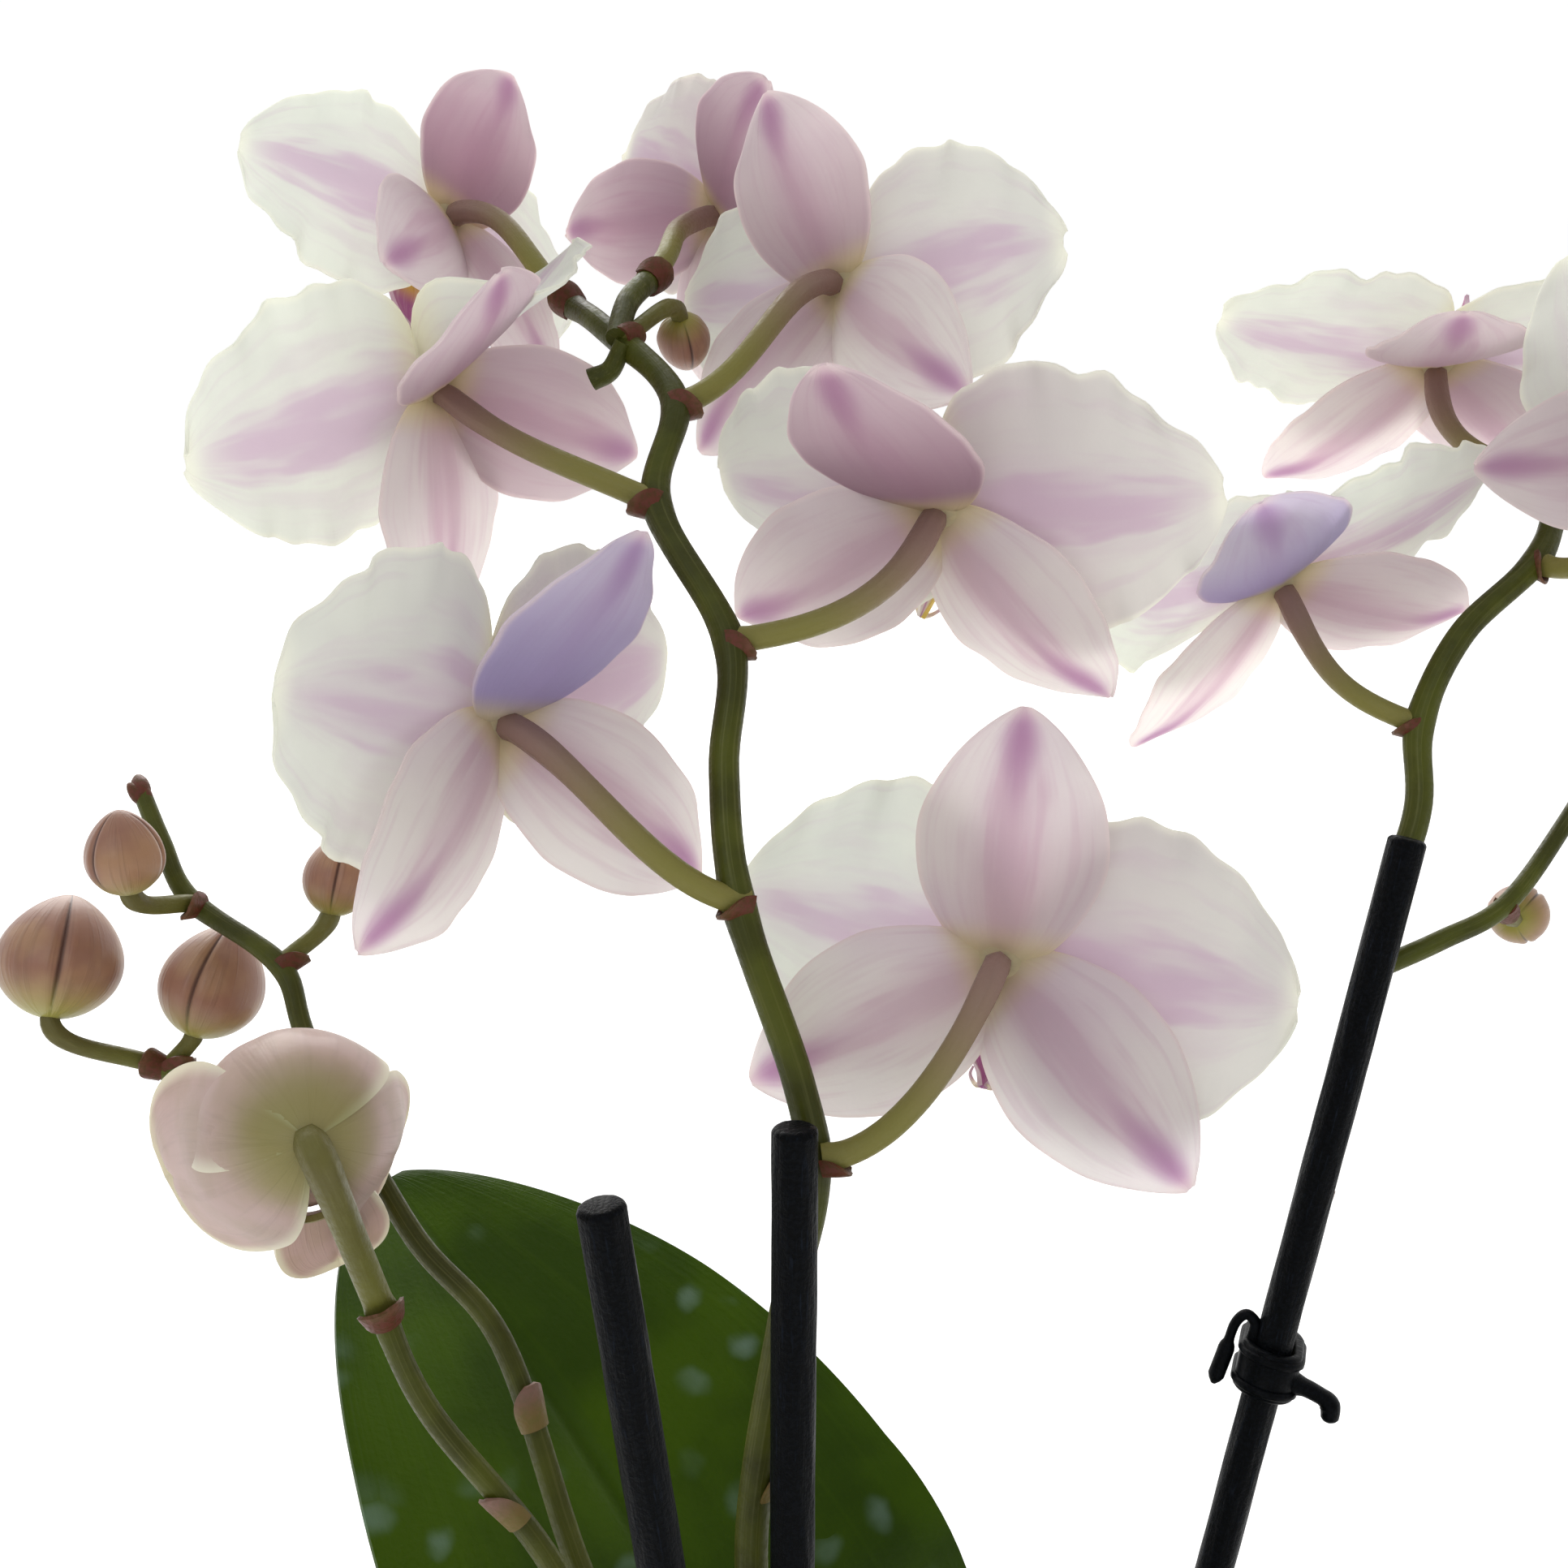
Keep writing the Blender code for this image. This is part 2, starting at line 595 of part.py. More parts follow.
def hub_bmesh(flower, offset):
    """The short disc that a whorl of tepals grows from, on its own side of the flower's middle."""
    angles = np.linspace(0, 2 * np.pi, 8, endpoint=False)
    outward = np.sign(offset)
    inner = outward * GAP / 2
    outer = offset + outward * HUB_DEPTH
    rings = []
    bm = bmesh.new()
    for radius, depth in ((HUB_RADIUS - 1, inner), (HUB_RADIUS, offset), (HUB_RADIUS - 1, outer)):
        ring = np.stack([radius * np.cos(angles), radius * np.sin(angles), 0 * angles + depth], axis=1)
        rings.append([bm.verts.new(corner) for corner in place_flower(flower, ring)])
    join_rings(bm, rings)
    bm.faces.new(rings[0])
    bm.faces.new(rings[-1])
    return bm


def grow_whorl(flower, kind, grids, offset, finish):
    """A hub and its tepals as one body."""
    whorl = add_object(f"{flower}_{kind}", hub_bmesh(flower, offset), finish)
    for number, grid in enumerate(grids):
        helper = add_object(f"{flower}_{kind}_{number}", tepal_bmesh(flower, grid), finish, hidden=True)
        boolean(whorl, helper, "UNION")


def make_flower(flower, finishes):
    size = FLOWERS[flower][4]
    bends = np.radians(FLOWERS[flower][5])
    turns = np.radians(FLOWERS[flower][6])
    up, level, low = np.radians((90, PETAL_ANGLE, SEPAL_ANGLE))
    flat = np.pi
    sepals = [
        (DORSAL_LENGTH, DORSAL_WIDTH, up + turns[0], bends[0]),
        (SEPAL_LENGTH, SEPAL_WIDTH, flat - low + turns[3], bends[3]),
        (SEPAL_LENGTH, SEPAL_WIDTH, low + turns[4], bends[4]),
    ]
    petals = [
        (PETAL_LENGTH, PETAL_WIDTH, flat - level + turns[1], bends[1]),
        (PETAL_LENGTH, PETAL_WIDTH, level + turns[2], bends[2]),
    ]
    grids = [
        tepal_grid(*sepal, WHORL_OFFSET, size, fullness=0.9, blunt=0.75, rows=6, columns=3)
        for sepal in sepals
    ]
    grow_whorl(flower, "sepals", grids, WHORL_OFFSET, finishes["sepal"])
    grids = [
        tepal_grid(*petal, -WHORL_OFFSET, size, fullness=0.8, blunt=0.6, rows=6, columns=5)
        for petal in petals
    ]
    grow_whorl(flower, "petals", grids, -WHORL_OFFSET, finishes["petal"])
    make_lip(flower, finishes["lip"])


def make_lip(flower, finish):
    """The column in the flower's middle, and the three-lobed lip hinged under it."""
    front = np.array((0, 0, -(WHORL_OFFSET + HUB_DEPTH + GAP)))
    size = FLOWERS[flower][4]

    def placed(points):
        return place_flower(flower, np.asarray(points, float) * size + front)

    radius = COLUMN_DIAMETER / 2 * size
    column = placed([(0, -0.6, 0), (0, -0.6, -1), (0, 0, -COLUMN_LENGTH * 0.55), (0, 0, -COLUMN_LENGTH)])
    lip = add_object(f"{flower}_lip", tube_bmesh(column, [radius, radius, radius * 0.8, radius], 8), finish)
    foot = placed([(0, -0.6, -1.8), (0, -3.0, -3.6), (0, -5.6, -5.4)])
    body = tube_bmesh(foot, np.array(COLUMN_FOOT_RADII) * size, 8)
    boolean(lip, add_object(f"{flower}_lip_foot", body, finish, hidden=True), "UNION")

    along = np.array([(-4.4, -4.4), (-7.0, -5.8), (-11.0, -6.2), (-3 - LIP_LENGTH * 0.75, -4.5), (-3 - LIP_LENGTH, -5.5)])
    share = np.linspace(0.1, 0.9, len(along))[:, None]
    across = np.linspace(-1, 1, 4)[None, :]
    half = LIP_WIDTH / 2 * (0.35 + 0.65 * np.sin(np.pi * share))
    tongue = np.stack([half * across, along[:, :1] + 0 * across, along[:, 1:] - across**2], axis=2)
    shapes = {"tongue": tongue}
    for name, side in (("left", -1), ("right", 1)):
        shapes[name + "_wing"] = np.array([
            [(side * 0.5, -3.4, -3.7), (side * 0.5, -4.8, -4.8)],
            [(side * 5.5, -1.5, -5.5), (side * 6.0, -7.0, -6.0)],
            [(side * LIP_WING, 1.0, -9.0), (side * LIP_WING, -5.0, -10.0)],
            [(side * LIP_WING * 0.8, 1.5, -12.0), (side * LIP_WING * 0.8, -3.0, -12.5)],
        ])
    for name, grid in shapes.items():
        grid = placed(grid)
        body = sheet_bmesh(grid, grid_normals(grid), LIP_THICKNESS)
        boolean(lip, add_object(f"{flower}_lip_{name}", body, finish, hidden=True), "UNION")


# Buds, leaves and roots


def make_bud(name, finish):
    """An egg shape, fuller near its foot, along the way its tip points."""
    _, middle, tip, length, width = BUDS[name]
    heights = np.array((0, 0.04, 0.16, 0.36, 0.6, 0.82, 0.96, 1.0))
    radii = np.array((0, 0.3, 0.74, 1.0, 0.94, 0.62, 0.24, 0.0))
    profile = [(r * width / 2, (h - 0.5) * length) for r, h in zip(radii, heights)]
    bm = turned_bmesh(profile, 10)
    turn = Vector((0, 0, 1)).rotation_difference(Vector(unit(tip))).to_matrix().to_4x4()
    bmesh.ops.transform(bm, matrix=Matrix.Translation(middle) @ turn, verts=bm.verts)
    add_object(name, bm, finish)


def leaf_outline(share, width):
    """Half width along the leaf: a narrow clasping foot, widest past the middle, a blunt tip."""
    foot = LEAF_FOOT * width * (1 - share)
    return foot + (width / 2 - 2.0) * np.sin(np.pi * share**1.25) ** 0.62


def make_leaf(name, finish):
    points, width, across = LEAVES[name]
    path = smooth_curve(from_crown(points), 3)
    share = np.linspace(0, 0.985, len(path))
    v = np.linspace(-1, 1, 5)
    half = leaf_outline(share, width)
    along = np.gradient(path, axis=0)
    along /= np.linalg.norm(along, axis=1)[:, None]
    side = unit(across) - along * (along @ unit(across))[:, None]
    side /= np.linalg.norm(side, axis=1)[:, None]
    face = np.cross(side, along)
    face *= np.sign(face[:, 2])[:, None]
    trough = 0.16 * half[:, None] * np.abs(v)[None, :] ** 1.3
    grid = path[:, None, :] + half[:, None, None] * v[None, :, None] * side[:, None, :]
    grid = grid + trough[:, :, None] * face[:, None, :]
    add_object(name, sheet_bmesh(grid, grid_normals(grid), LEAF_THICKNESS), finish)


def main():
    clear_scene()
    black = material("stake_plastic", (0.012, 0.014, 0.016), 0.45)
    stem = material("stem_skin", (0.10, 0.13, 0.03), 0.45)
    finishes = {
        "petal": material("petal", (0.78, 0.80, 0.70), 0.5),
        "sepal": material("sepal", (0.70, 0.52, 0.66), 0.5),
        "lip": material("lip", (0.85, 0.72, 0.25), 0.45),
    }
    make_pot(material("pot_glaze", (0.78, 0.76, 0.71), 0.35))
    rise = np.array((0, 0, plant_rise()))
    above = bark_height() + 30
    rods = [("crown", [(0, 0, bark_height() - 30), (0, 0, above)], CROWN_DIAMETER / 2)]
    for name in STAKES:
        foot, top = stake_axis(name)
        end = foot - unit(top - foot) * GAP
        path = [end + rise, stake_point(name, above - rise[2]) + rise]
        rods.append(("stake_" + name, path, STAKE_DIAMETER / 2))
        make_stake(name, black)
    make_bark(material("bark", (0.16, 0.09, 0.05), 0.9), rods)
    add_object("crown", turned_bmesh(crown_profile(), 16), stem)

    centre = spike_path(CENTRE_SPIKE, "centre", CENTRE_STEM_DIAMETER)
    right = spike_path(RIGHT_SPIKE, "right", RIGHT_STEM_DIAMETER)
    left_front = spike_path(LEFT_FRONT_SPIKE, "left", BUD_STEM_DIAMETER)
    left_back = spike_path(LEFT_BACK_SPIKE, "left", BUD_STEM_DIAMETER)
    top = smooth_curve(CENTRE_TOP_BRANCH, 3)
    stub = smooth_curve(CENTRE_TOP_STUB, 2)
    side = smooth_curve(SIDE_BRANCH, 3)
    growths = [(top, taper(len(top), PEDICEL_DIAMETER, PEDICEL_DIAMETER * 1.1), PEDICEL_SIDES)]
    growths += [(stub, taper(len(stub), BUD_PEDICEL_DIAMETER, BUD_PEDICEL_DIAMETER * 1.3), PEDICEL_SIDES)]
    growths += pedicels(CENTRE_PEDICELS, ["bud_6"])
    make_spike("spike_centre", centre, taper(len(centre), CENTRE_STEM_DIAMETER, STEM_TIP_DIAMETER), growths, stem)
    growths = [(side, taper(len(side), PEDICEL_DIAMETER, BUD_PEDICEL_DIAMETER), PEDICEL_SIDES)]
    growths += pedicels(RIGHT_PEDICELS, ["bud_7", "bud_8"])
    make_spike("spike_right", right, taper(len(right), RIGHT_STEM_DIAMETER, STEM_TIP_DIAMETER), growths, stem)
    make_spike("spike_left_front", left_front, taper(len(left_front), BUD_STEM_DIAMETER, BUD_PEDICEL_DIAMETER),
               pedicels({}, ["bud_2", "bud_3", "bud_4"]), stem)
    make_spike("spike_left_back", left_back, taper(len(left_back), BUD_STEM_DIAMETER, BUD_PEDICEL_DIAMETER),
               pedicels({}, ["bud_1", "bud_5"]), stem)
    make_clip("clip_right", "right", right, 262, -1, black)
    make_clip("clip_centre", "centre", centre, 178, 1, black)
    make_clip("clip_left", "left", left_front, 200, 1, black)

    for flower in FLOWERS:
        make_flower(flower, finishes)
    bud_skin = material("bud_skin", (0.36, 0.22, 0.20), 0.5)
    for name in BUDS:
        make_bud(name, bud_skin)
    leaf_skin = material("leaf_skin", (0.05, 0.12, 0.015), 0.35)
    for name in LEAVES:
        make_leaf(name, leaf_skin)
    root_skin = material("root_skin", (0.42, 0.44, 0.36), 0.7)
    for name, points in ROOTS.items():
        path = smooth_curve(from_crown(points), 3)
        add_object(name, tube_bmesh(path, taper(len(path), ROOT_DIAMETER, ROOT_DIAMETER * 0.6), 8), root_skin)

    potted = {"pot", "bark", "crown"} | {name + "_hole" for name, _, _ in rods}
    for obj in bpy.data.objects:
        if obj.name not in potted:
            obj.location.z = rise[2] * MM


main()
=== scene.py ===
# The potted orchid's looks: a moth orchid with many small flowers, seen from behind them, in a plain pot.
# Lengths are millimetres up to the point where a mesh is made. The flowers face +Y.
import bpy
import math
import numpy as np
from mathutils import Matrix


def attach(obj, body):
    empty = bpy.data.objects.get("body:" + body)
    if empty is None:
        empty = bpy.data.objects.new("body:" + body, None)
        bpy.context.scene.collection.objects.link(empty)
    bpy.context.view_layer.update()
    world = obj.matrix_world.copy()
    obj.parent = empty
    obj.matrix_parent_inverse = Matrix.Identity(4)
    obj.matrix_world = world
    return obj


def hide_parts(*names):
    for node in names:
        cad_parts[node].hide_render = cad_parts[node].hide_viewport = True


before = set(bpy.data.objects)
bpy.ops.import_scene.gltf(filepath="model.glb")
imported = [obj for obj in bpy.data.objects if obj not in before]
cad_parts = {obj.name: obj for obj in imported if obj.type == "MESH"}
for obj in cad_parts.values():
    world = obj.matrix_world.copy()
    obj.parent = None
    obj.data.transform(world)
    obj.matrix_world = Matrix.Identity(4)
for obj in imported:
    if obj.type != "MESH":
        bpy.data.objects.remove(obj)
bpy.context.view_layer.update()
mm = 0.001
mapName = "patternMap"
print("frame loaded:", len(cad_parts), "nodes")


# Small tools for shapes

def toUnit(vectors):
    vectors = np.asarray(vectors, float)
    return vectors / np.linalg.norm(vectors, axis=-1, keepdims=True)


def smoothRise(value, low, high):
    # 0 below low, 1 above high, an S curve between
    t = np.clip((value - low) / (high - low), 0, 1)
    return t * t * (3 - 2 * t)


def bump(value, middle, width):
    return np.exp(-((value - middle) / width) ** 2)


def smoothCurve(points, perSpan):
    # Catmull-Rom: each span is a cubic through its two ends, with the neighbours' slope
    points = np.asarray(points, float)
    ends = np.vstack([2 * points[0] - points[1], points, 2 * points[-1] - points[-2]])
    a, b, c, d = (ends[k:len(ends) - 3 + k, None, :] for k in range(4))
    t = (np.arange(perSpan) / perSpan)[None, :, None]
    curve = 0.5 * (2 * b + (c - a) * t + (2 * a - 5 * b + 4 * c - d) * t**2 + (3 * b - a - 3 * c + d) * t**3)
    return np.vstack([curve.reshape(-1, 3), points[-1]])


def bezierCurve(a, b, c, d, steps):
    t = np.linspace(0, 1, steps)[:, None]
    a, b, c, d = (np.asarray(p, float) for p in (a, b, c, d))
    return (1 - t)**3 * a + 3 * (1 - t)**2 * t * b + 3 * (1 - t) * t**2 * c + t**3 * d


def evenly(path, count):
    # the same path with its points the same distance apart
    steps = np.r_[0, np.cumsum(np.linalg.norm(np.diff(path, axis=0), axis=1))]
    wanted = np.linspace(0, steps[-1], count)
    return np.stack([np.interp(wanted, steps, path[:, k]) for k in range(3)], axis=1)


def gridQuads(rows, columns, wrap=False):
    i = np.arange(rows - 1)[:, None]
    j = np.arange(columns if wrap else columns - 1)[None, :]
    k = (j + 1) % columns
    quads = np.stack([i * columns + j, i * columns + k, (i + 1) * columns + k, (i + 1) * columns + j], axis=-1)
    return quads.reshape(-1, 4)


def gridNormals(grid):
    normals = np.cross(np.gradient(grid, axis=0), np.gradient(grid, axis=1))
    return normals / np.maximum(np.linalg.norm(normals, axis=2, keepdims=True), 1e-9)


def gridMap(rows, columns):
    return np.stack(np.meshgrid(np.linspace(0, 1, columns), np.linspace(0, 1, rows)), axis=-1)


def shellPart(grid, thickness):
    # a thin closed skin: the grid moved half the thickness each way along its normals, joined round its border
    rows, columns = grid.shape[:2]
    normals = gridNormals(grid) * (np.broadcast_to(thickness, (rows, columns))[:, :, None] / 2)
    count = rows * columns
    points = np.concatenate([(grid + normals).reshape(-1, 3), (grid - normals).reshape(-1, 3)])
    quads = gridQuads(rows, columns)
    border = np.concatenate([
        np.arange(columns - 1), np.arange(rows - 1) * columns + columns - 1,
        (rows - 1) * columns + np.arange(columns - 1, 0, -1), np.arange(rows - 1, 0, -1) * columns,
    ])
    after = np.roll(border, -1)
    rim = np.stack([border, border + count, after + count, after], axis=1)
    mapped = gridMap(rows, columns).reshape(-1, 2)
    return points, [quads[:, ::-1], quads + count, rim[:, ::-1]], np.concatenate([mapped, mapped])


def ringsPart(rings, mapRows=None):
    # rings of points joined into a closed skin, with a point at the middle of each end
    rows, columns = rings.shape[:2]
    quads = gridQuads(rows, columns, wrap=True)
    first, last = rows * columns, rows * columns + 1
    j = np.arange(columns)
    k = (j + 1) % columns
    low = np.stack([np.full(columns, first), k, j], axis=1)
    high = np.stack([np.full(columns, last), (rows - 1) * columns + j, (rows - 1) * columns + k], axis=1)
    points = np.concatenate([rings.reshape(-1, 3), rings[:1].mean(axis=1), rings[-1:].mean(axis=1)])
    along = np.linspace(0, 1, rows) if mapRows is None else mapRows
    across = np.abs(np.linspace(-1, 1, columns, endpoint=False))
    mapped = np.stack(np.meshgrid(across, along), axis=-1).reshape(-1, 2)
    mapped = np.concatenate([mapped, [[0.5, along[0]], [0.5, along[-1]]]])
    return points, [quads, low, high], mapped


def tubeRings(path, radii, sides, shape=None):
    # rings square to the path. Their first side lies along the normal of the plane that the path fits best
    path = np.asarray(path, float)
    along = toUnit(np.gradient(path, axis=0))
    plane = np.linalg.svd(path - path.mean(axis=0))[2][2]
    side = toUnit(plane - along * (along @ plane)[:, None])
    up = np.cross(along, side)
    angle = np.linspace(0, 2 * np.pi, sides, endpoint=False)
    radii = np.broadcast_to(radii, len(path))[:, None]
    if shape is not None:
        radii = radii * shape(np.linspace(0, 1, len(path))[:, None], angle[None, :])
    radii = np.broadcast_to(radii, (len(path), sides))[:, :, None]
    turn = np.cos(angle)[None, :, None] * side[:, None, :] + np.sin(angle)[None, :, None] * up[:, None, :]
    return path[:, None, :] + radii * turn


def tubePart(path, radii, sides, shape=None):
    return ringsPart(tubeRings(path, radii, sides, shape))


def turnedPart(profile, sides, shape=None):
    # a profile of (radius, height) turned about Z
    profile = np.asarray(profile, float)
    angle = np.linspace(0, 2 * np.pi, sides, endpoint=False)
    radius = profile[:, :1] * (1 if shape is None else shape(profile[:, 1:], angle[None, :]))
    rings = np.stack([radius * np.cos(angle), radius * np.sin(angle), profile[:, 1:] + 0 * angle], axis=-1)
    return ringsPart(rings)


def turnTo(direction):
    # rows are two axes square to the direction, and the direction
    direction = toUnit(direction)
    helper = np.array((0.0, 0.0, 1.0)) if abs(direction[2]) < 0.9 else np.array((0.0, 1.0, 0.0))
    side = toUnit(np.cross(helper, direction))
    return np.array((side, np.cross(direction, side), direction))


def movePart(part, axes=None, place=(0, 0, 0)):
    points, faces, mapped = part
    turned = points if axes is None else points @ axes
    return turned + np.asarray(place, float), faces, mapped


def addPiece(name, parts, finish, replaced, tones=None):
    # one object from several closed skins. The attribute "tone" holds one number for each skin
    offsets = np.cumsum([0] + [len(part[0]) for part in parts[:-1]])
    points = np.concatenate([part[0] for part in parts]) * mm
    mapped = np.concatenate([part[2] for part in parts])
    blocks = [block + offset for part, offset in zip(parts, offsets) for block in part[1]]
    sizes = np.concatenate([np.full(len(block), block.shape[1]) for block in blocks])
    corners = np.concatenate([block.reshape(-1) for block in blocks])
    mesh = bpy.data.meshes.new(name)
    mesh.vertices.add(len(points))
    mesh.vertices.foreach_set("co", points.astype(np.float32).reshape(-1))
    mesh.loops.add(len(corners))
    mesh.loops.foreach_set("vertex_index", corners.astype(np.int32))
    mesh.polygons.add(len(sizes))
    mesh.polygons.foreach_set("loop_start", np.r_[0, np.cumsum(sizes)[:-1]].astype(np.int32))
    mesh.polygons.foreach_set("use_smooth", np.ones(len(sizes), bool))
    mesh.update(calc_edges=True)
    layer = mesh.uv_layers.new(name=mapName)
    layer.data.foreach_set("uv", mapped[corners].astype(np.float32).reshape(-1))
    tone = mesh.attributes.new("tone", "FLOAT", "POINT")
    values = np.zeros(len(parts)) if tones is None else np.asarray(tones, float)
    tone.data.foreach_set("value", np.repeat(values, [len(part[0]) for part in parts]).astype(np.float32))
    mesh.materials.append(finish)
    mesh.validate()
    mesh.set_sharp_from_angle(angle=math.radians(50))
    piece = bpy.data.objects.new(name, mesh)
    bpy.context.scene.collection.objects.link(piece)
    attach(piece, "root")
    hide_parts(*([replaced] if isinstance(replaced, str) else replaced))
    return piece


# Small tools for materials

def setInputs(tree, node, inputs):
    # a socket is linked, anything else is set as a constant
    for name, value in inputs.items():
        if isinstance(value, bpy.types.NodeSocket):
            tree.links.new(value, node.inputs[name])
        else:
            node.inputs[name].default_value = value
    return node


def addNode(tree, kind, inputs=None, **settings):
    made = tree.nodes.new(kind)
    for name, value in settings.items():
        setattr(made, name, value)
    return setInputs(tree, made, inputs or {})


def calc(tree, operation, a, b=0.0, clamp=False):
    return addNode(tree, "ShaderNodeMath", {0: a, 1: b}, operation=operation, use_clamp=clamp).outputs[0]


def times(tree, a, b, clamp=False):
    return calc(tree, "MULTIPLY", a, b, clamp)


def ramp(tree, value, low, high, start=0.0, end=1.0):
    inputs = {"Value": value, "From Min": low, "From Max": high, "To Min": start, "To Max": end}
    return addNode(tree, "ShaderNodeMapRange", inputs, interpolation_type="SMOOTHSTEP").outputs[0]


def linear(colour):
    # a colour given as a screen shows it, made linear
    return tuple(((c / 255 + 0.055) / 1.055)**2.4 if c > 10 else c / 255 / 12.92 for c in colour) + (1.0,)


def mixColour(tree, share, a, b):
    # a and b are sockets, or colours as a screen shows them
    a, b = (linear(colour) if isinstance(colour, tuple) else colour for colour in (a, b))
    return addNode(tree, "ShaderNodeMix", {0: share, 6: a, 7: b}, data_type="RGBA").outputs[2]


def addNoise(tree, place, scale, detail, roughness=0.5):
    inputs = {"Vector": place, "Scale": scale, "Detail": detail, "Roughness": roughness}
    return addNode(tree, "ShaderNodeTexNoise", inputs).outputs[0]


def splitAxes(tree, vector):
    return addNode(tree, "ShaderNodeSeparateXYZ", {0: vector}).outputs


def stretchMap(tree, axes, across, along):
    # the map's two values, each drawn out by its own number, as a place for a texture
    drawn = {0: times(tree, axes[0], across), 1: times(tree, axes[1], along)}
    return addNode(tree, "ShaderNodeCombineXYZ", drawn).outputs[0]


def fromMiddle(tree, value):
    # 0 in the middle of a map, 1 at both its sides
    return calc(tree, "ABSOLUTE", times(tree, calc(tree, "SUBTRACT", value, 0.5), 2.0))


def startMaterial(name, plain):
    made = bpy.data.materials.new(name)
    made.use_nodes = True
    tree = made.node_tree
    return made, tree, setInputs(tree, tree.nodes["Principled BSDF"], plain)


def letLightThrough(tree, shader, share, inputs):
    through = addNode(tree, "ShaderNodeBsdfTranslucent", inputs)
    both = addNode(tree, "ShaderNodeMixShader", {0: share, 1: shader.outputs[0], 2: through.outputs[0]})
    tree.links.new(both.outputs[0], tree.nodes["Material Output"].inputs["Surface"])


def startGroup(name, inputs, outputs):
    tree = bpy.data.node_groups.new(name, "ShaderNodeTree")
    for label, kind, value in inputs:
        socket = tree.interface.new_socket(label, in_out="INPUT", socket_type=kind)
        if value is not None:
            socket.default_value = value
    for label, kind in outputs:
        tree.interface.new_socket(label, in_out="OUTPUT", socket_type=kind)
    return tree, tree.nodes.new("NodeGroupInput"), tree.nodes.new("NodeGroupOutput")


def useGroup(tree, group, inputs):
    return addNode(tree, "ShaderNodeGroup", inputs, node_tree=group)


def buildVeinGroup():
    # Streak: strongest on the midrib, feathered by the veins, fading towards the tip.
    # Veins: noise drawn out along the tepal. Rim: strongest on the border. Foot: strongest at the foot.
    number, vector = "NodeSocketFloat", "NodeSocketVector"
    tree, given, result = startGroup(
        "tepalVeins",
        [("Map", vector, None), ("Place", vector, None), ("Streak Width", number, 0.3), ("Streak Reach", number, 0.7),
         ("Vein Count", number, 22.0)],
        [("Streak", number), ("Veins", number), ("Rim", number), ("Foot", number), ("Height", number)],
    )
    axes, place = splitAxes(tree, given.outputs["Map"]), given.outputs["Place"]
    across, along = fromMiddle(tree, axes[0]), axes[1]
    drawn = addNode(tree, "ShaderNodeCombineXYZ", {
        0: times(tree, axes[0], given.outputs["Vein Count"]),
        1: times(tree, along, 1.6),
        2: times(tree, splitAxes(tree, place)[0], 40.0),
    }).outputs[0]
    lines, soft = addNoise(tree, drawn, 1.0, 2.0, 0.6), addNoise(tree, place, 90.0, 3.0)
    feather = calc(tree, "ADD", across, times(tree, calc(tree, "SUBTRACT", lines, 0.5), 0.9))
    width = times(tree, given.outputs["Streak Width"], ramp(tree, along, 0.0, 0.5, 1.5, 1.0))
    inside = ramp(tree, feather, 0.0, width, 1.0, 0.0)
    reach = given.outputs["Streak Reach"]
    fade = ramp(tree, along, calc(tree, "SUBTRACT", reach, 0.35), reach, 1.0, 0.0)
    veins = ramp(tree, lines, 0.46, 0.72)
    border = calc(tree, "MAXIMUM", across, along)
    wavering = calc(tree, "ADD", border, times(tree, calc(tree, "SUBTRACT", soft, 0.5), 0.12))
    grain = addNoise(tree, place, 1500.0, 1.0)
    setInputs(tree, result, {
        "Streak": times(tree, inside, fade, clamp=True), "Veins": veins, "Rim": ramp(tree, wavering, 0.84, 1.0),
        "Foot": ramp(tree, along, 0.02, 0.14, 1.0, 0.0),
        "Height": calc(tree, "ADD", times(tree, veins, 0.6), times(tree, grain, 0.35)),
    })
    return tree


def buildSpotGroup():
    # soft blotches and fine specks in Object space, for skins that aren't one even colour
    number, vector = "NodeSocketFloat", "NodeSocketVector"
    tree, given, result = startGroup(
        "blotches", [("Place", vector, None), ("Blotch Size", number, 0.01), ("Speck Size", number, 0.0008)],
        [("Blotch", number), ("Speck", number)],
    )
    for label, size in (("Blotch", "Blotch Size"), ("Speck", "Speck Size")):
        scale = calc(tree, "DIVIDE", 1.0, given.outputs[size])
        noise = addNoise(tree, given.outputs["Place"], scale, 3.0)
        tree.links.new(ramp(tree, noise, 0.38, 0.66), result.inputs[label])
    return tree


veinGroup = buildVeinGroup()
spotGroup = buildSpotGroup()


def readMap(tree):
    return addNode(tree, "ShaderNodeUVMap", uv_map=mapName).outputs[0]


def readPlace(tree):
    return addNode(tree, "ShaderNodeTexCoord").outputs["Object"]


def readTone(tree):
    return addNode(tree, "ShaderNodeAttribute", attribute_name="tone").outputs["Fac"]


def addVeins(tree, count, more=None):
    inputs = {"Map": readMap(tree), "Place": readPlace(tree), "Vein Count": count, **(more or {})}
    return useGroup(tree, veinGroup, inputs).outputs


def addSpots(tree, blotchSize, speckSize):
    inputs = {"Place": readPlace(tree), "Blotch Size": blotchSize, "Speck Size": speckSize}
    return useGroup(tree, spotGroup, inputs).outputs


def bumpFrom(tree, height, distance, strength=1.0):
    return addNode(tree, "ShaderNodeBump", {"Height": height, "Distance": distance, "Strength": strength}).outputs[0]


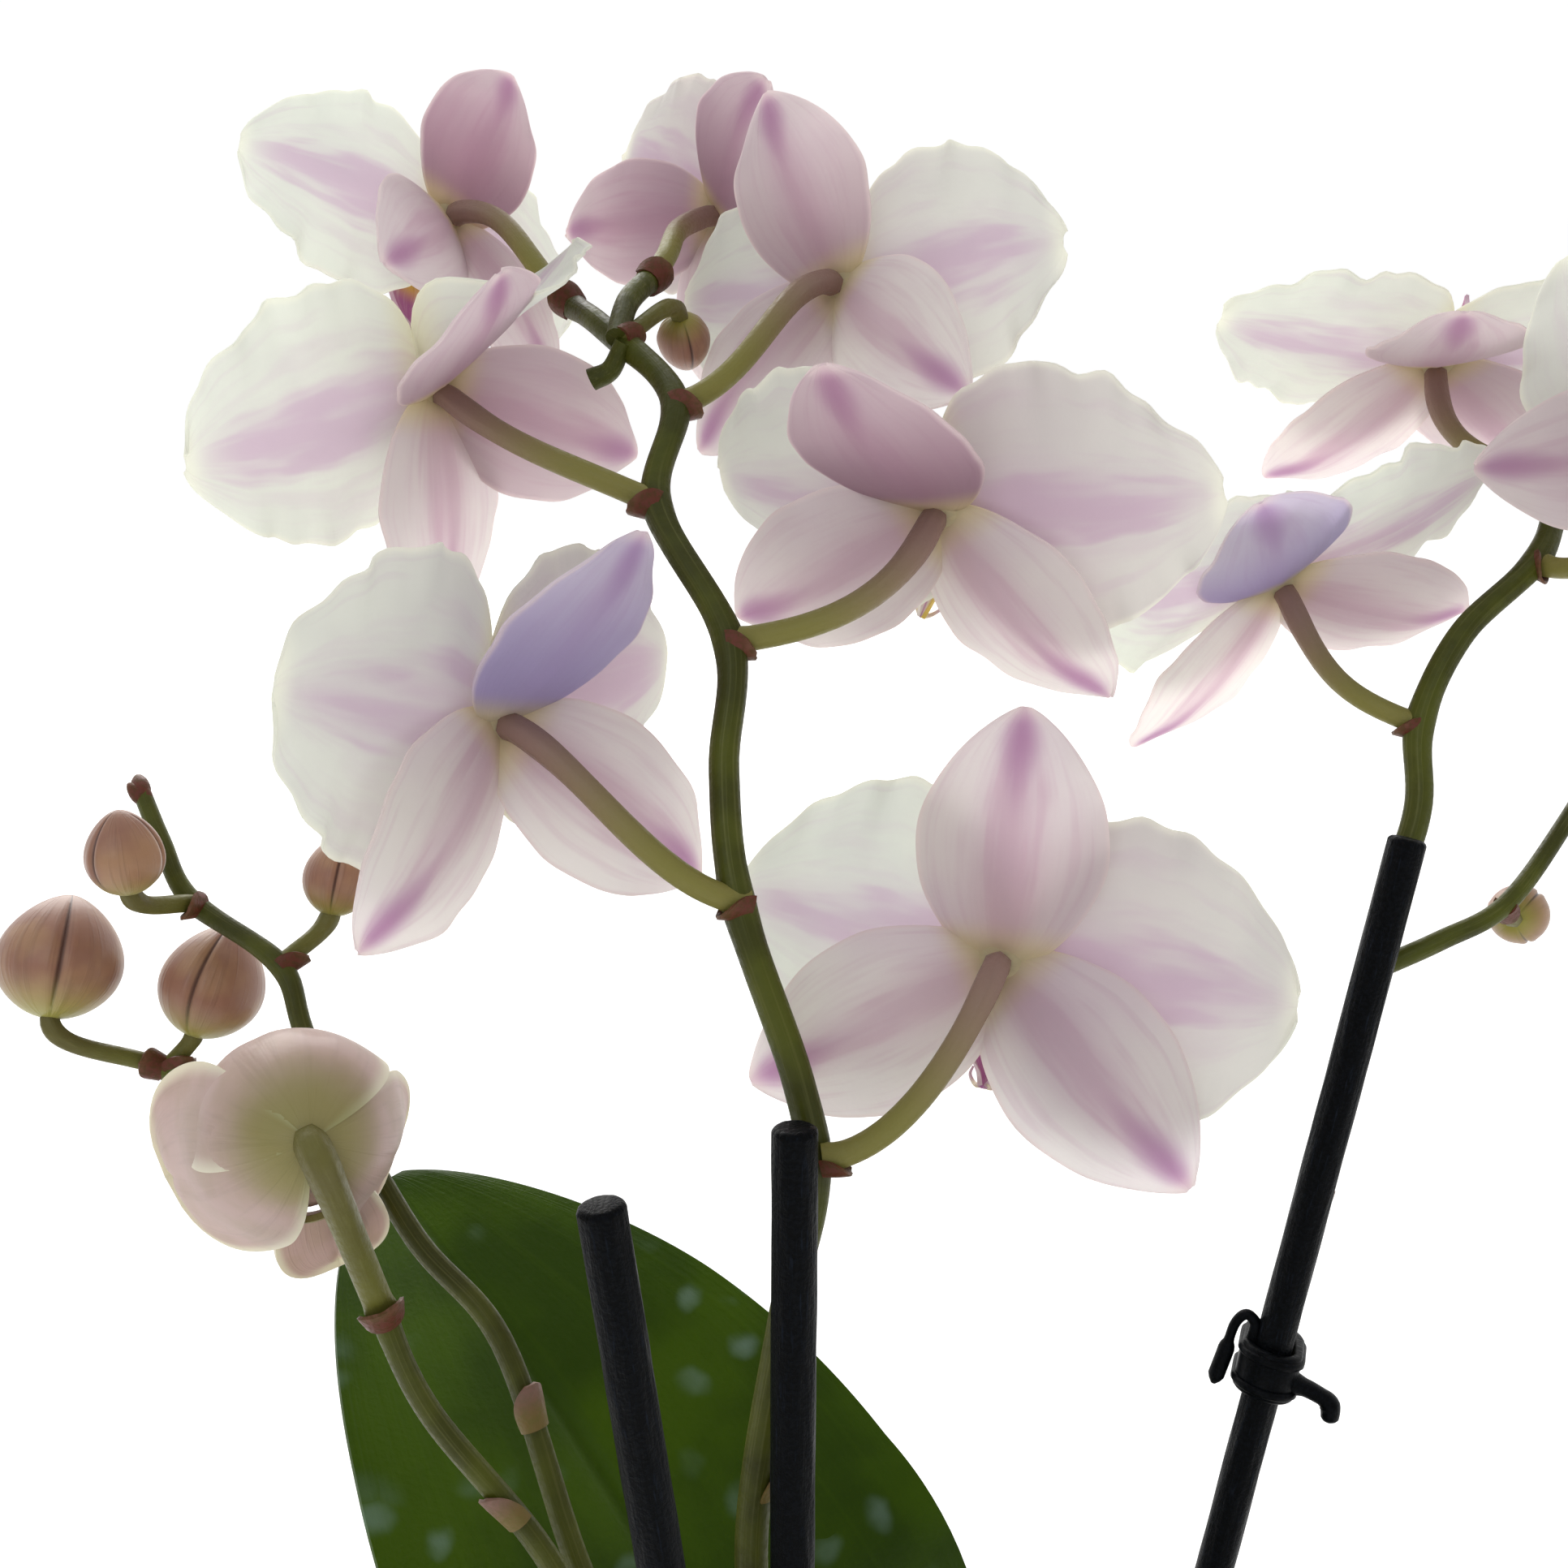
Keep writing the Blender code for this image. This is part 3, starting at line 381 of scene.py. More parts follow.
def tepalMaterial(name, look):
    # a soft skin that lets light through: a Principled shader mixed with a Translucent one
    made, tree, shader = startMaterial(name, {
        "Roughness": look["roughness"], "Sheen Weight": 0.12, "Sheen Roughness": 0.6, "IOR": 1.4})
    veins = addVeins(tree, look["veinCount"], {"Streak Width": look["streakWidth"],
                                               "Streak Reach": look["streakReach"]})
    spots = addSpots(tree, 0.014, 0.0016)
    # tone above 0 turns a tepal towards mauve, partly its own colour and partly painted shade, most near the foot;
    # below 0 towards lilac, a painted reflection of the pale sky
    tone = times(tree, readTone(tree), ramp(tree, splitAxes(tree, readMap(tree))[1], 0.1, 0.8, 1.3, 0.7))
    body = mixColour(tree, times(tree, spots["Blotch"], 0.5), look["body"], look["second"])
    for share, colour in (
        (times(tree, veins["Veins"], look["veinShare"]), look["vein"]),
        (times(tree, veins["Streak"], look["streakShare"]), look["streak"]),
        (times(tree, tipStreak(tree), look["tipShare"]), look["tip"]),
        (times(tree, tone, 0.75, clamp=True), tintAndPaintedLightLook["mauve"]),
        (times(tree, tone, -0.75, clamp=True), tintAndPaintedLightLook["paintedSkyLilac"]),
        (times(tree, veins["Rim"], look["rimShare"]), look["rim"]),
        (times(tree, veins["Foot"], look["footShare"]), look["foot"]),
    ):
        body = mixColour(tree, share, body, colour)
    normal = bumpFrom(tree, veins["Height"], 0.00012, 0.6)
    setInputs(tree, shader, {"Base Color": body, "Normal": normal})
    letLightThrough(tree, shader, look["through"], {"Color": body, "Normal": normal})
    return made


def tipStreak(tree):
    # the dark line that runs down the outer half of the midrib and widens towards the tip
    across, along = splitAxes(tree, readMap(tree))[:2]
    width = ramp(tree, along, 0.45, 0.9, 0.06, 0.55)
    line = ramp(tree, fromMiddle(tree, across), 0.0, width, 1.0, 0.0)
    return times(tree, line, ramp(tree, along, 0.4, 0.8), clamp=True)


petalLook = {
    "body": (237, 239, 232), "second": (230, 231, 226), "vein": (226, 214, 222), "veinShare": 0.3,
    "streak": (218, 194, 214), "streakShare": 0.6, "streakWidth": 0.3, "streakReach": 1.0, "veinCount": 14.0,
    "tip": (214, 190, 210), "tipShare": 0.0, "rim": (250, 250, 238), "rimShare": 0.6,
    "foot": (236, 230, 190), "footShare": 0.35, "roughness": 0.55, "through": 0.68,
}
sepalLook = {
    "body": (246, 243, 240), "second": (241, 235, 236), "vein": (230, 212, 220), "veinShare": 0.35,
    "streak": (218, 186, 204), "streakShare": 0.5, "streakWidth": 0.36, "streakReach": 0.9, "veinCount": 14.0,
    "tip": (188, 126, 180), "tipShare": 0.6, "rim": (246, 236, 234), "rimShare": 0.75,
    "foot": (238, 230, 186), "footShare": 0.7, "roughness": 0.5, "through": 0.74,
}
# mauve: partly the tepals' own colour, partly painted shade; lilac: a painted reflection of the pale sky
tintAndPaintedLightLook = {"mauve": (188, 156, 172), "paintedSkyLilac": (196, 186, 218)}
petalFinish = tepalMaterial("petalSkin", petalLook)
sepalFinish = tepalMaterial("sepalSkin", sepalLook)
print("tepal materials made")


# Flowers

flowerLayout = {
    # middle, yaw, pitch, roll, size, how far each tepal bends back, how far each turns in the flower's plane.
    # The order is dorsal sepal, left petal, right petal, left sepal, right sepal, as seen from behind.
    "flower_1": ((15, 32, 347), 14, -23, 5, 1.03, (3, -5, -1, 2, 1), (4, 4, -5, -12, 9)),
    "flower_2": ((-53, 42, 378), -56, 1, 11, 1.02, (35, 2, 1, 9, 32), (-5, -2, 2, -4, 8)),
    "flower_3": ((8, 62, 403), 29, 25, 2, 1.03, (25, -5, -6, 15, 0), (11, 13, -1, -18, -5)),
    "flower_4": ((-66, 81, 417), -54, 15, -28, 0.99, (38, -13, -7, 15, 25), (-4, -4, -7, 11, 4)),
    "flower_5": ((-5, 99, 430), 40, -17, -16, 0.93, (18, -3, -10, 8, 9), (12, -2, -7, -8, 6)),
    "flower_6": ((-72, 133, 438.5), -58, -23, 32, 0.92, (16, -18, -6, 20, 8), (-10, 6, 0, 3, 0)),
    "flower_7": ((-25, 140, 439), 40, -3, 31, 0.92, (22, -13, -4, 10, 4), (-12, 18, 0, -11, 0)),
    "flower_8": ((70, 111, 381), -30, 40, -24, 1.09, (4, 0, 0, 11, 18), (19, -20, 2, -1, 23)),
    "flower_9": ((101, 135, 415), 5, 52, -2, 1.03, (19, -4, -2, 14, 6), (7, -4, 0, -2, 0)),
    "flower_10": ((132.5, 90.5, 407.5), 20, 0, 38, 1.02, (6, -4, -3, 7, 4), (1, 1, -1, -2, 1)),
}
# how far the dorsal, left and right sepals turn towards mauve, partly their own colour and partly painted shade on
# tepals that face away from the light, or below 0 towards lilac, a painted reflection of the pale sky on dorsal
# sepals that face up; and then the same for the left and right petals
sepalTintAndPaintedLight = {
    "flower_1": (0.2, 0.0, -0.05), "flower_2": (-0.95, 0.0, 0.0), "flower_3": (0.9, 0.15, 0.0),
    "flower_4": (0.6, 0.1, 0.45),
    "flower_5": (0.5, 0.2, 0.0), "flower_6": (0.85, 0.35, 0.3), "flower_7": (0.85, 0.6, 0.3),
    "flower_8": (-0.85, 0.0, 0.2),
    "flower_9": (0.5, 0.1, 0.3), "flower_10": (0.4, 0.3, 0.25),
}
petalTintAndPaintedShade = {
    "flower_1": (0.0, 0.3), "flower_2": (0.1, 0.24), "flower_3": (0.05, 0.3), "flower_5": (0.0, 0.15),
    "flower_7": (0.3, 0.0),
    "flower_10": (0.1, 0.1),
}
# how far a left and a right petal are twisted about their own length
petalTwists = {"flower_4": (0, 52)}
whorl = {"gap": 1.1, "hubRadius": 3.4, "hubDepth": 1.2, "petalAngle": 8.0, "sepalAngle": -48.0}
tepalShapes = {
    "dorsal": {"length": 34, "width": 22.5, "claw": 5.0, "fullness": 0.98, "blunt": 0.7, "trough": 0.12, "arch": 0.05,
               "ruffle": 0.35, "waves": 2.0, "keel": 0.5, "hook": 0.03},
    "sepal": {"length": 37, "width": 21, "claw": 5.0, "fullness": 0.98, "blunt": 0.72, "trough": 0.14, "arch": 0.06,
              "ruffle": 0.35, "waves": 2.2, "keel": 0.5, "hook": 0.04},
    "petal": {"length": 38, "width": 37.5, "claw": 7.0, "fullness": 0.86, "blunt": 0.56, "trough": 0.05, "arch": 0.04,
              "ruffle": 0.9, "waves": 3.4, "keel": 0.35, "hook": 0.0},
}
skin = {"middle": 0.8, "border": 0.35, "rows": 46, "columns": 33}


def flowerAxes(flower):
    # rows are the flower's right, up and back, seen from behind it
    yaw, pitch, roll = np.radians(flowerLayout[flower][1:4])
    face = np.array((np.sin(yaw) * np.cos(pitch), np.cos(yaw) * np.cos(pitch), np.sin(pitch)))
    level = toUnit(np.cross(face, (0, 0, 1)))
    upright = np.cross(level, face)
    up = upright * np.cos(roll) + level * np.sin(roll)
    right = level * np.cos(roll) - upright * np.sin(roll)
    return np.array((right, up, -face))


def placeFlower(flower, points):
    return np.asarray(flowerLayout[flower][0], float) + np.asarray(points, float) @ flowerAxes(flower)


def tepalGrid(shape, angle, bend, offset, size, draw, twist=0.0):
    # Half width: a claw that narrows, plus a sine of the share of length, raised to a power for a blunt end.
    # Depth: the bend's slope, an arch along it, a trough across it, a keel on the midrib, and ruffles that
    # grow with the fourth power of the distance from the midrib.
    t = np.linspace(0, 1, skin["rows"])[:, None]
    share = 0.994 * (1 - (1 - t)**1.35)
    across = np.sin(np.linspace(-1, 1, skin["columns"]) * np.pi / 2 * 0.86)[None, :] / np.sin(np.pi / 2 * 0.86)
    phase = draw.uniform(0, 1, 6)
    side = np.where(across < 0, phase[0], phase[1])
    belly = np.sin(np.pi * share**shape["fullness"])**shape["blunt"]
    half = shape["claw"] / 2 * (1 - share) + shape["width"] / 2 * belly
    half = half * (1 + 0.02 * shape["ruffle"] * np.sin(2 * np.pi * (shape["waves"] * 1.7 * share + side)))
    length = shape["length"]
    wave = np.sin(2 * np.pi * (shape["waves"] * share + side))
    wave = wave + 0.5 * np.sin(2 * np.pi * (2.3 * shape["waves"] * share + phase[2] + side))
    depth = share * length * np.sin(bend)
    depth = depth + shape["arch"] * length * np.sin(np.pi * share) - shape["hook"] * length * smoothRise(share, 0.7, 1)
    depth = depth - shape["trough"] * half * across**2
    depth = depth + shape["keel"] * bump(across, 0, 0.09) * np.sin(np.pi * np.clip(share * 1.1, 0, 1))
    depth = depth + shape["ruffle"] * wave * np.abs(across)**3.5 * smoothRise(share, 0.15, 0.55)
    depth = depth + 0.5 * shape["ruffle"] * np.sin(2 * np.pi * (share * 1.3 + phase[3])) * across
    out = share * length * np.cos(bend) + 0 * across
    aside = half * across + 0.02 * length * np.sin(np.pi * share) * (phase[4] - 0.5)
    turned = twist * smoothRise(share, 0.02, 0.4)
    aside, depth = aside * np.cos(turned), depth + aside * np.sin(turned)
    x = (out * np.cos(angle) - aside * np.sin(angle)) * size
    y = (out * np.sin(angle) + aside * np.cos(angle)) * size
    return np.stack([x, y, offset + depth * size], axis=2)


def tepalPart(flower, shape, angle, bend, offset, size, draw, twist=0.0):
    grid = placeFlower(flower, tepalGrid(shape, angle, bend, offset, size, draw, twist))
    across = np.linspace(-1, 1, skin["columns"])[None, :]
    along = np.linspace(0, 1, skin["rows"])[:, None]
    edge = np.maximum(np.abs(across)**3, along**6)
    return shellPart(grid, skin["middle"] + (skin["border"] - skin["middle"]) * edge)


def hubPart(flower, side):
    # a low dome at the flower's middle that the tepals grow out of
    radius, top = whorl["hubRadius"], whorl["gap"] + whorl["hubDepth"] + 0.2
    profile = [(0.01, 0.1), (radius * 0.8, 0.15), (radius, 0.9), (radius * 0.93, 1.5), (radius * 0.7, 2.0),
               (radius * 0.35, top - 0.05), (0.01, top)]
    part = turnedPart(profile, 24, lambda height, angle: 1 + 0.06 * np.cos(3 * angle))
    points, faces, mapped = part
    points = points * (1, 1, side)
    if side < 0:
        faces = [block[:, ::-1] for block in faces]
    mapped = mapped * (1, 0.03)
    return placeFlower(flower, points), faces, mapped


def buildFlower(flower, number):
    draw = np.random.default_rng(100 + number)
    size = flowerLayout[flower][4]
    bends = np.radians(flowerLayout[flower][5])
    turns = np.radians(flowerLayout[flower][6])
    level, low = math.radians(whorl["petalAngle"]), math.radians(whorl["sepalAngle"])
    sepals = [hubPart(flower, 1)]
    for shape, angle, k in (("dorsal", math.pi / 2, 0), ("sepal", math.pi - low, 3), ("sepal", low, 4)):
        sepals.append(tepalPart(flower, tepalShapes[shape], angle + turns[k], bends[k], whorl["gap"], size, draw))
    addPiece(f"sepals_{number}", sepals, sepalFinish, f"{flower}_sepals", (0.0,) + sepalTintAndPaintedLight[flower])
    petals = [hubPart(flower, -1)]
    twists = np.radians(petalTwists.get(flower, (0, 0)))
    for angle, k in ((math.pi - level, 1), (level, 2)):
        petals.append(tepalPart(flower, tepalShapes["petal"], angle + turns[k], bends[k], -whorl["gap"], size, draw,
                                twists[k - 1]))
    addPiece(f"petals_{number}", petals, petalFinish, f"{flower}_petals",
             (0.0,) + petalTintAndPaintedShade.get(flower, (0.0, 0.0)))


for index, flowerName in enumerate(flowerLayout, 1):
    buildFlower(flowerName, index)
print("tepals grown:", len(flowerLayout) * 5)

# Lips and columns

lipLook = {
    "columnLength": 8.2, "columnRadius": 2.3, "midLength": 11.0, "longer": {"flower_3": 11.0, "flower_6": 3.0},
    "swing": {"flower_3": -20.0}, "midWidth": 10.5, "wing": 8.0, "skin": 0.7,
    "white": (244, 240, 228), "yellow": (236, 206, 50), "magenta": (190, 112, 170), "spot": (160, 60, 70),
}


def lipMaterial():
    # Yellow and spotted near the foot, then magenta with a paler rim. Tone 1 is the column, nearly white, and
    # a tone below 0 a paler lobe with a yellow side
    made, tree, shader = startMaterial("lipSkin", {"Roughness": 0.4, "Coat Weight": 0.15, "Coat Roughness": 0.3})
    across, along = splitAxes(tree, readMap(tree))[:2]
    outward = fromMiddle(tree, across)
    veins, spots, tone = addVeins(tree, 14.0), addSpots(tree, 0.0018, 0.0009), readTone(tree)
    lobe = mixColour(tree, ramp(tree, along, 0.25, 0.6, 1.0, 0.0), lipLook["magenta"], lipLook["yellow"])
    lobe = mixColour(tree, times(tree, veins["Veins"], 0.35), lobe, lipLook["white"])
    lobe = mixColour(tree, times(tree, spots["Blotch"], ramp(tree, along, 0.1, 0.5, 0.75, 0.0)), lobe, lipLook["spot"])
    lobe = mixColour(tree, ramp(tree, outward, 0.75, 1.0, 0.0, 0.45), lobe, lipLook["white"])
    pale = mixColour(tree, ramp(tree, outward, 0.0, 0.45, 0.8, 0.0), lipLook["white"], lipLook["magenta"])
    pale = mixColour(tree, ramp(tree, across, 0.62, 0.95), pale, lipLook["yellow"])
    lobe = mixColour(tree, times(tree, tone, -1.0, clamp=True), lobe, pale)
    column = mixColour(tree, times(tree, spots["Speck"], 0.25), lipLook["white"], lipLook["magenta"])
    skin = mixColour(tree, tone, lobe, column)
    setInputs(tree, shader, {"Base Color": skin, "Normal": bumpFrom(tree, veins["Height"], 0.0001, 0.5)})
    letLightThrough(tree, shader, 0.25, {"Color": skin})
    return made


lipFinish = lipMaterial()


def lobeGrid(middle, halfWidth, across, cup, rows, columns, ruffle=0.0):
    # a lobe carried along its middle line: half width times the across direction, cupped by the square of v
    path = evenly(smoothCurve(middle, 8), rows)
    share = np.linspace(0, 1, rows)[:, None]
    v = np.linspace(-1, 1, columns)[None, :]
    half = np.interp(share, np.linspace(0, 1, len(halfWidth)), halfWidth)
    along = toUnit(np.gradient(path, axis=0))
    side = toUnit(np.asarray(across, float) - along * (along @ np.asarray(across, float))[:, None])
    face = np.cross(side, along)
    lift = cup * half * v**2 + ruffle * np.sin(share * 14 + v * 2) * v**2
    return path[:, None, :] + (half * v)[:, :, None] * side[:, None, :] + lift[:, :, None] * face[:, None, :]


def buildLip(flower, number):
    size = flowerLayout[flower][4]
    front = -(whorl["gap"] + whorl["hubDepth"] + 0.3)

    swing = math.radians(lipLook["swing"].get(flower, 0.0))
    swung = np.array(((math.cos(swing), math.sin(swing), 0), (-math.sin(swing), math.cos(swing), 0), (0, 0, 1)))

    def placed(points):
        return placeFlower(flower, np.asarray(points, float) @ swung * size + (0, 0, front))

    reach, radius = lipLook["columnLength"], lipLook["columnRadius"]
    path = placed([(0, -0.4, 0.2), (0, -0.3, -2), (0, 0.1, -reach * 0.55), (0, 0.2, -reach * 0.85), (0, -0.3, -reach)])
    path = smoothCurve(path, 6)
    s = np.linspace(0, 1, len(path))
    radii = radius * (0.95 - 0.28 * bump(s, 0.45, 0.25) + 0.12 * bump(s, 0.86, 0.12))
    radii = radii * np.sqrt(1 - 0.85 * smoothRise(s, 0.9, 1.0))
    column = tubePart(path, radii * size, 20, lambda along, angle: 1 - 0.1 * np.cos(2 * angle))
    cap = turnedPart([(0.01, -1.5), (1.2, -1.3), (1.9, -0.4), (1.7, 0.8), (0.9, 1.6), (0.01, 1.8)], 16)
    cap = movePart((cap[0] * size, cap[1], cap[2]), flowerAxes(flower), placed((0, 0.2, -reach + 0.4)))
    foot = tubePart(smoothCurve(placed([(0, -0.8, -1.4), (0, -3.2, -3.4), (0, -5.6, -5.2)]), 5), 1.5 * size, 14)
    across = flowerAxes(flower)[0]
    reachDown = lipLook["midLength"] + lipLook["longer"].get(flower, 0.0)
    middle = placed([(0, -4.4, -4.2), (0, -6.8, -6.2), (0, -6 - reachDown * 0.45, -7.6),
                     (0, -6 - reachDown * 0.8, -6.6),
                     (0, -6 - reachDown, -4.6)])
    halves = np.array([1.4, 2.2, 3.4, lipLook["midWidth"] / 2, 4.6, 2.4, 1.1, 0.4]) * size
    mid = shellPart(lobeGrid(middle, halves, across, -0.35, 30, 17, 0.25), lipLook["skin"])
    parts, tones = [column, cap, foot, mid], [1.0, 1.0, 1.0, -0.85 if flower in lipLook["swing"] else 0.0]
    for side in (-1, 1):
        wing = lipLook["wing"] * side
        lobe = placed([(side * 0.6, -4.0, -4.2), (side * 3.6, -3.6, -5.4), (wing * 0.8, -2.4, -8.0),
                       (wing * 0.82, -1.0, -11.0)])
        halves = np.array([0.9, 2.2, 3.4, 3.3, 2.0, 0.5]) * size
        up = flowerAxes(flower)[1]
        parts.append(shellPart(lobeGrid(lobe, halves, up, 0.25 * side, 22, 13, 0.2), lipLook["skin"] * 0.85))
        tones.append(0.1)
        curl = placed([(side * 0.3, -5.8 - reachDown, -4.8), (side * 1.2, -6.0 - reachDown, -6.0),
                       (side * 2.2, -5.0 - reachDown, -7.2),
                       (side * 2.0, -3.8 - reachDown, -7.4)])
        curl = smoothCurve(curl, 6)
        parts.append(tubePart(curl, np.linspace(0.42, 0.16, len(curl)) * size, 8))
        tones.append(0.6)
        knob = turnedPart([(0.01, -1.3), (0.7, -1.0), (1.1, 0.0), (0.8, 0.9), (0.01, 1.2)], 12)
        parts.append(movePart((knob[0] * size, knob[1], knob[2] * (1, 0.1)), flowerAxes(flower),
                              placed((side * 0.9, -5.6, -7.4))))
        tones.append(0.0)
    addPiece(f"lip_{number}", parts, lipFinish, f"{flower}_lip", tones)


for index, flowerName in enumerate(flowerLayout, 1):
    buildLip(flowerName, index)
print("lips made")


# Stakes, spikes and clips

stakeLayout = {
    "left": ((4, -42, 30), (-35.5, -5, 334), (-0.8, 0.6, 0.0)),
    "centre": ((-14, -34, 30), (-12.6, 13.8, 333), (0.0, 1.0, 0.0)),
    "right": ((14, 4, 30), (84.5, 75.4, 348), (0.36, 0.93, 0.0)),
}
stakeSize = {"diameter": 6.0, "clearance": 0.7, "rows": 240}
stems = {
    "centre": {"diameter": 5.4, "tip": 3.7, "stake": "centre", "points": [
        (-4.5, -9.5, 113), (-9, -10, 132), 158, 185, 215, (-16, 6.5, 240), (-18.5, 12, 268), (-14, 18, 300),
        (-10, 20.5, 320),
        (-12, 23, 334), (-20, 30, 357), (-22, 40, 372), (-21.5, 50, 387), (-32, 65, 403), (-30, 78, 416),
        (-41.5, 95, 424.2),
        (-48.3, 111.5, 426.3)]},
    "right": {"diameter": 6.2, "tip": 3.7, "stake": "right", "points": [
        (10, 7.5, 114), (18, 22, 130), (30, 35, 148), 172, 228, 265, 300, 335, (88.5, 83.5, 350), (89.5, 90, 362.5),
        (97, 96.5, 375.5), (111.5, 105.5, 386), (119, 117.5, 396), (129, 131, 404), (140, 142, 411)]},
    "left_front": {"diameter": 4.4, "tip": 2.6, "stake": "left", "points": [
        (-9.8, -4, 113), (-18, -9, 135), (-22, -14, 162), 190, 215, (-33, -8, 250), (-44, -2, 277), (-59, 1, 299),
        (-65, 4, 313),
        (-71, 15, 317), (-82, 31, 320), (-94, 42, 322), (-105, 45, 324)]},
    "left_back": {"diameter": 4.4, "tip": 2.6, "stake": "left", "points": [
        (-10, 1, 117), (-19, -1, 138), (-26, -4, 165), (-30, -6, 190), (-31, -6, 215), (-33, -2.5, 250), (-42, 4, 273),
        (-52, 15, 299), (-65, 23, 311), (-80, 36, 332), (-85, 42, 342), (-99, 49, 349), (-104, 54, 356),
        (-108, 59, 362)]},
}
flowerStalks = {
    # where each one leaves its spike, and the way it leaves
    "centre": {
        "flower_1": ((-9, 19, 325), (1.0, 0.1, 0.05)), "flower_2": ((-19, 30, 357), (-0.8, -0.3, 0.25)),
        "flower_3": ((-21.5, 50, 387), (1.0, 0.1, 0.1)), "flower_4": ((-32, 65, 403), (-0.9, 0.1, 0.4)),
        "flower_5": ((-30, 77, 415), (0.8, 0.2, 0.2)), "flower_6": ((-48, 110.5, 426.3), (-0.7, 0.5, 0.5)),
        "flower_7": ((-35.5, 105, 430.5), (0.5, 0.8, 0.5)),
    },
    "right": {
        "flower_8": ((89.5, 90, 362), (-0.9, 0.2, 0.3)), "flower_9": ((118.5, 117, 395.5), (-0.5, -0.3, 0.3)),
        "flower_10": ((111.5, 105.5, 385.5), (0.45, -0.95, -0.25)),
    },
}
budLayout = {
    # where its stalk leaves the spike, its middle, the way its tip points, length, width, spike
    "bud_1": ((-98, 48.5, 348.5), (-104, 40, 360), (-0.05, 0.1, 1), 12, 10.5, "left_back"),
    "bud_2": ((-105, 45, 324), (-118, 47, 341), (0.1, 0.7, 1), 18, 17.5, "left_front"),
    "bud_3": ((-104, 45, 324), (-98, 51, 335), (0.35, 0.5, 1), 17, 15, "left_front"),
    "bud_4": ((-64.5, 3.5, 312), (-75.5, 12, 334), (-0.35, 0.85, -0.4), 32, 28, "left_front"),
    "bud_5": ((-85, 42, 342), (-78, 51, 352), (0.2, 0.5, 1), 12, 10, "left_back"),
    "bud_6": ((-38.5, 88, 423.5), (-30, 107, 421), (0.1, 0.5, -0.9), 10, 8.5, "centre"),
    "bud_7": ((104, 81, 334), (112, 93, 327), (0.5, 0.8, -0.2), 12, 10, "right"),
    "bud_8": ((125, 97.5, 357), (131, 104, 372), (0.3, 0.5, 1), 14, 12, "right"),
}
sideStems = {
    "centre": [([(-39, 88, 423.5), (-38, 97, 428), (-35, 106, 431)], 3.5, 3.85),
               ([(-38, 87, 423), (-40, 87, 419), (-43, 87, 417.5)], 2.6, 3.4)],
    "right": [([(82, 77, 324), (93, 78, 329), (104, 81, 334), (116, 90, 345), (126, 98, 358)], 3.5, 2.6)],
}
stalk = {"diameter": 3.5, "budDiameter": 2.6, "reach": 13.0, "droop": 0.25, "neck": 1.5}


def eggProfile(length, width, rows):
    # radius is a sine of the height, pushed towards the foot; heights run from -1/2 to 1/2 of the length
    t = np.linspace(0.002, 0.998, rows)
    height = (1 - np.cos(np.pi * t)) / 2
    radius = width / 2 * np.sin(np.pi * height**0.86)**0.58
    return np.stack([radius, (height - 0.5) * length], axis=1)


def stakeEnds(name):
    return [np.asarray(end, float) for end in stakeLayout[name][:2]]


def stakePoint(name, height):
    foot, top = stakeEnds(name)
    return foot + (top - foot) * (height - foot[2]) / (top[2] - foot[2])


def stemPath(name):
    # a plain number is a height at which the stem lies against its stake
    stem = stems[name]
    reach = stakeSize["diameter"] / 2 + stem["diameter"] / 2 + stakeSize["clearance"]
    tied = toUnit(stakeLayout[stem["stake"]][2])
    placed = [stakePoint(stem["stake"], p) + tied * reach if np.isscalar(p) else np.array(p, float)
              for p in stem["points"]]
    return evenly(smoothCurve(placed, 12), 260)


def stalkPath(flower, origin, leaving):
    middle = np.asarray(flowerLayout[flower][0], float)
    back = flowerAxes(flower)[2]
    end = middle + back * (whorl["gap"] + whorl["hubDepth"])
    neck = end + back * stalk["neck"]
    start = np.asarray(origin, float)
    droop = back - np.array((0, 0, stalk["droop"]))
    curve = bezierCurve(start, start + toUnit(leaving) * stalk["reach"], neck + droop * stalk["reach"], neck, 40)
    return evenly(np.vstack([curve, end]), 44)


def budStalkPath(name):
    origin, middle, tip, length = (np.asarray(v, float) for v in budLayout[name][:4])
    end = middle - toUnit(tip) * (length / 2 - 0.8)
    reach = np.linalg.norm(end - origin) / 3
    return evenly(bezierCurve(origin, origin + toUnit(end - origin) * reach, end - toUnit(tip) * reach, end, 24), 28)


stemLook = {"deep": (56, 58, 8), "light": (76, 80, 16), "stalk": (126, 120, 60), "mauve": (140, 112, 102),
            "bract": (96, 48, 34), "bractRim": (112, 78, 54), "cream": (150, 148, 92)}


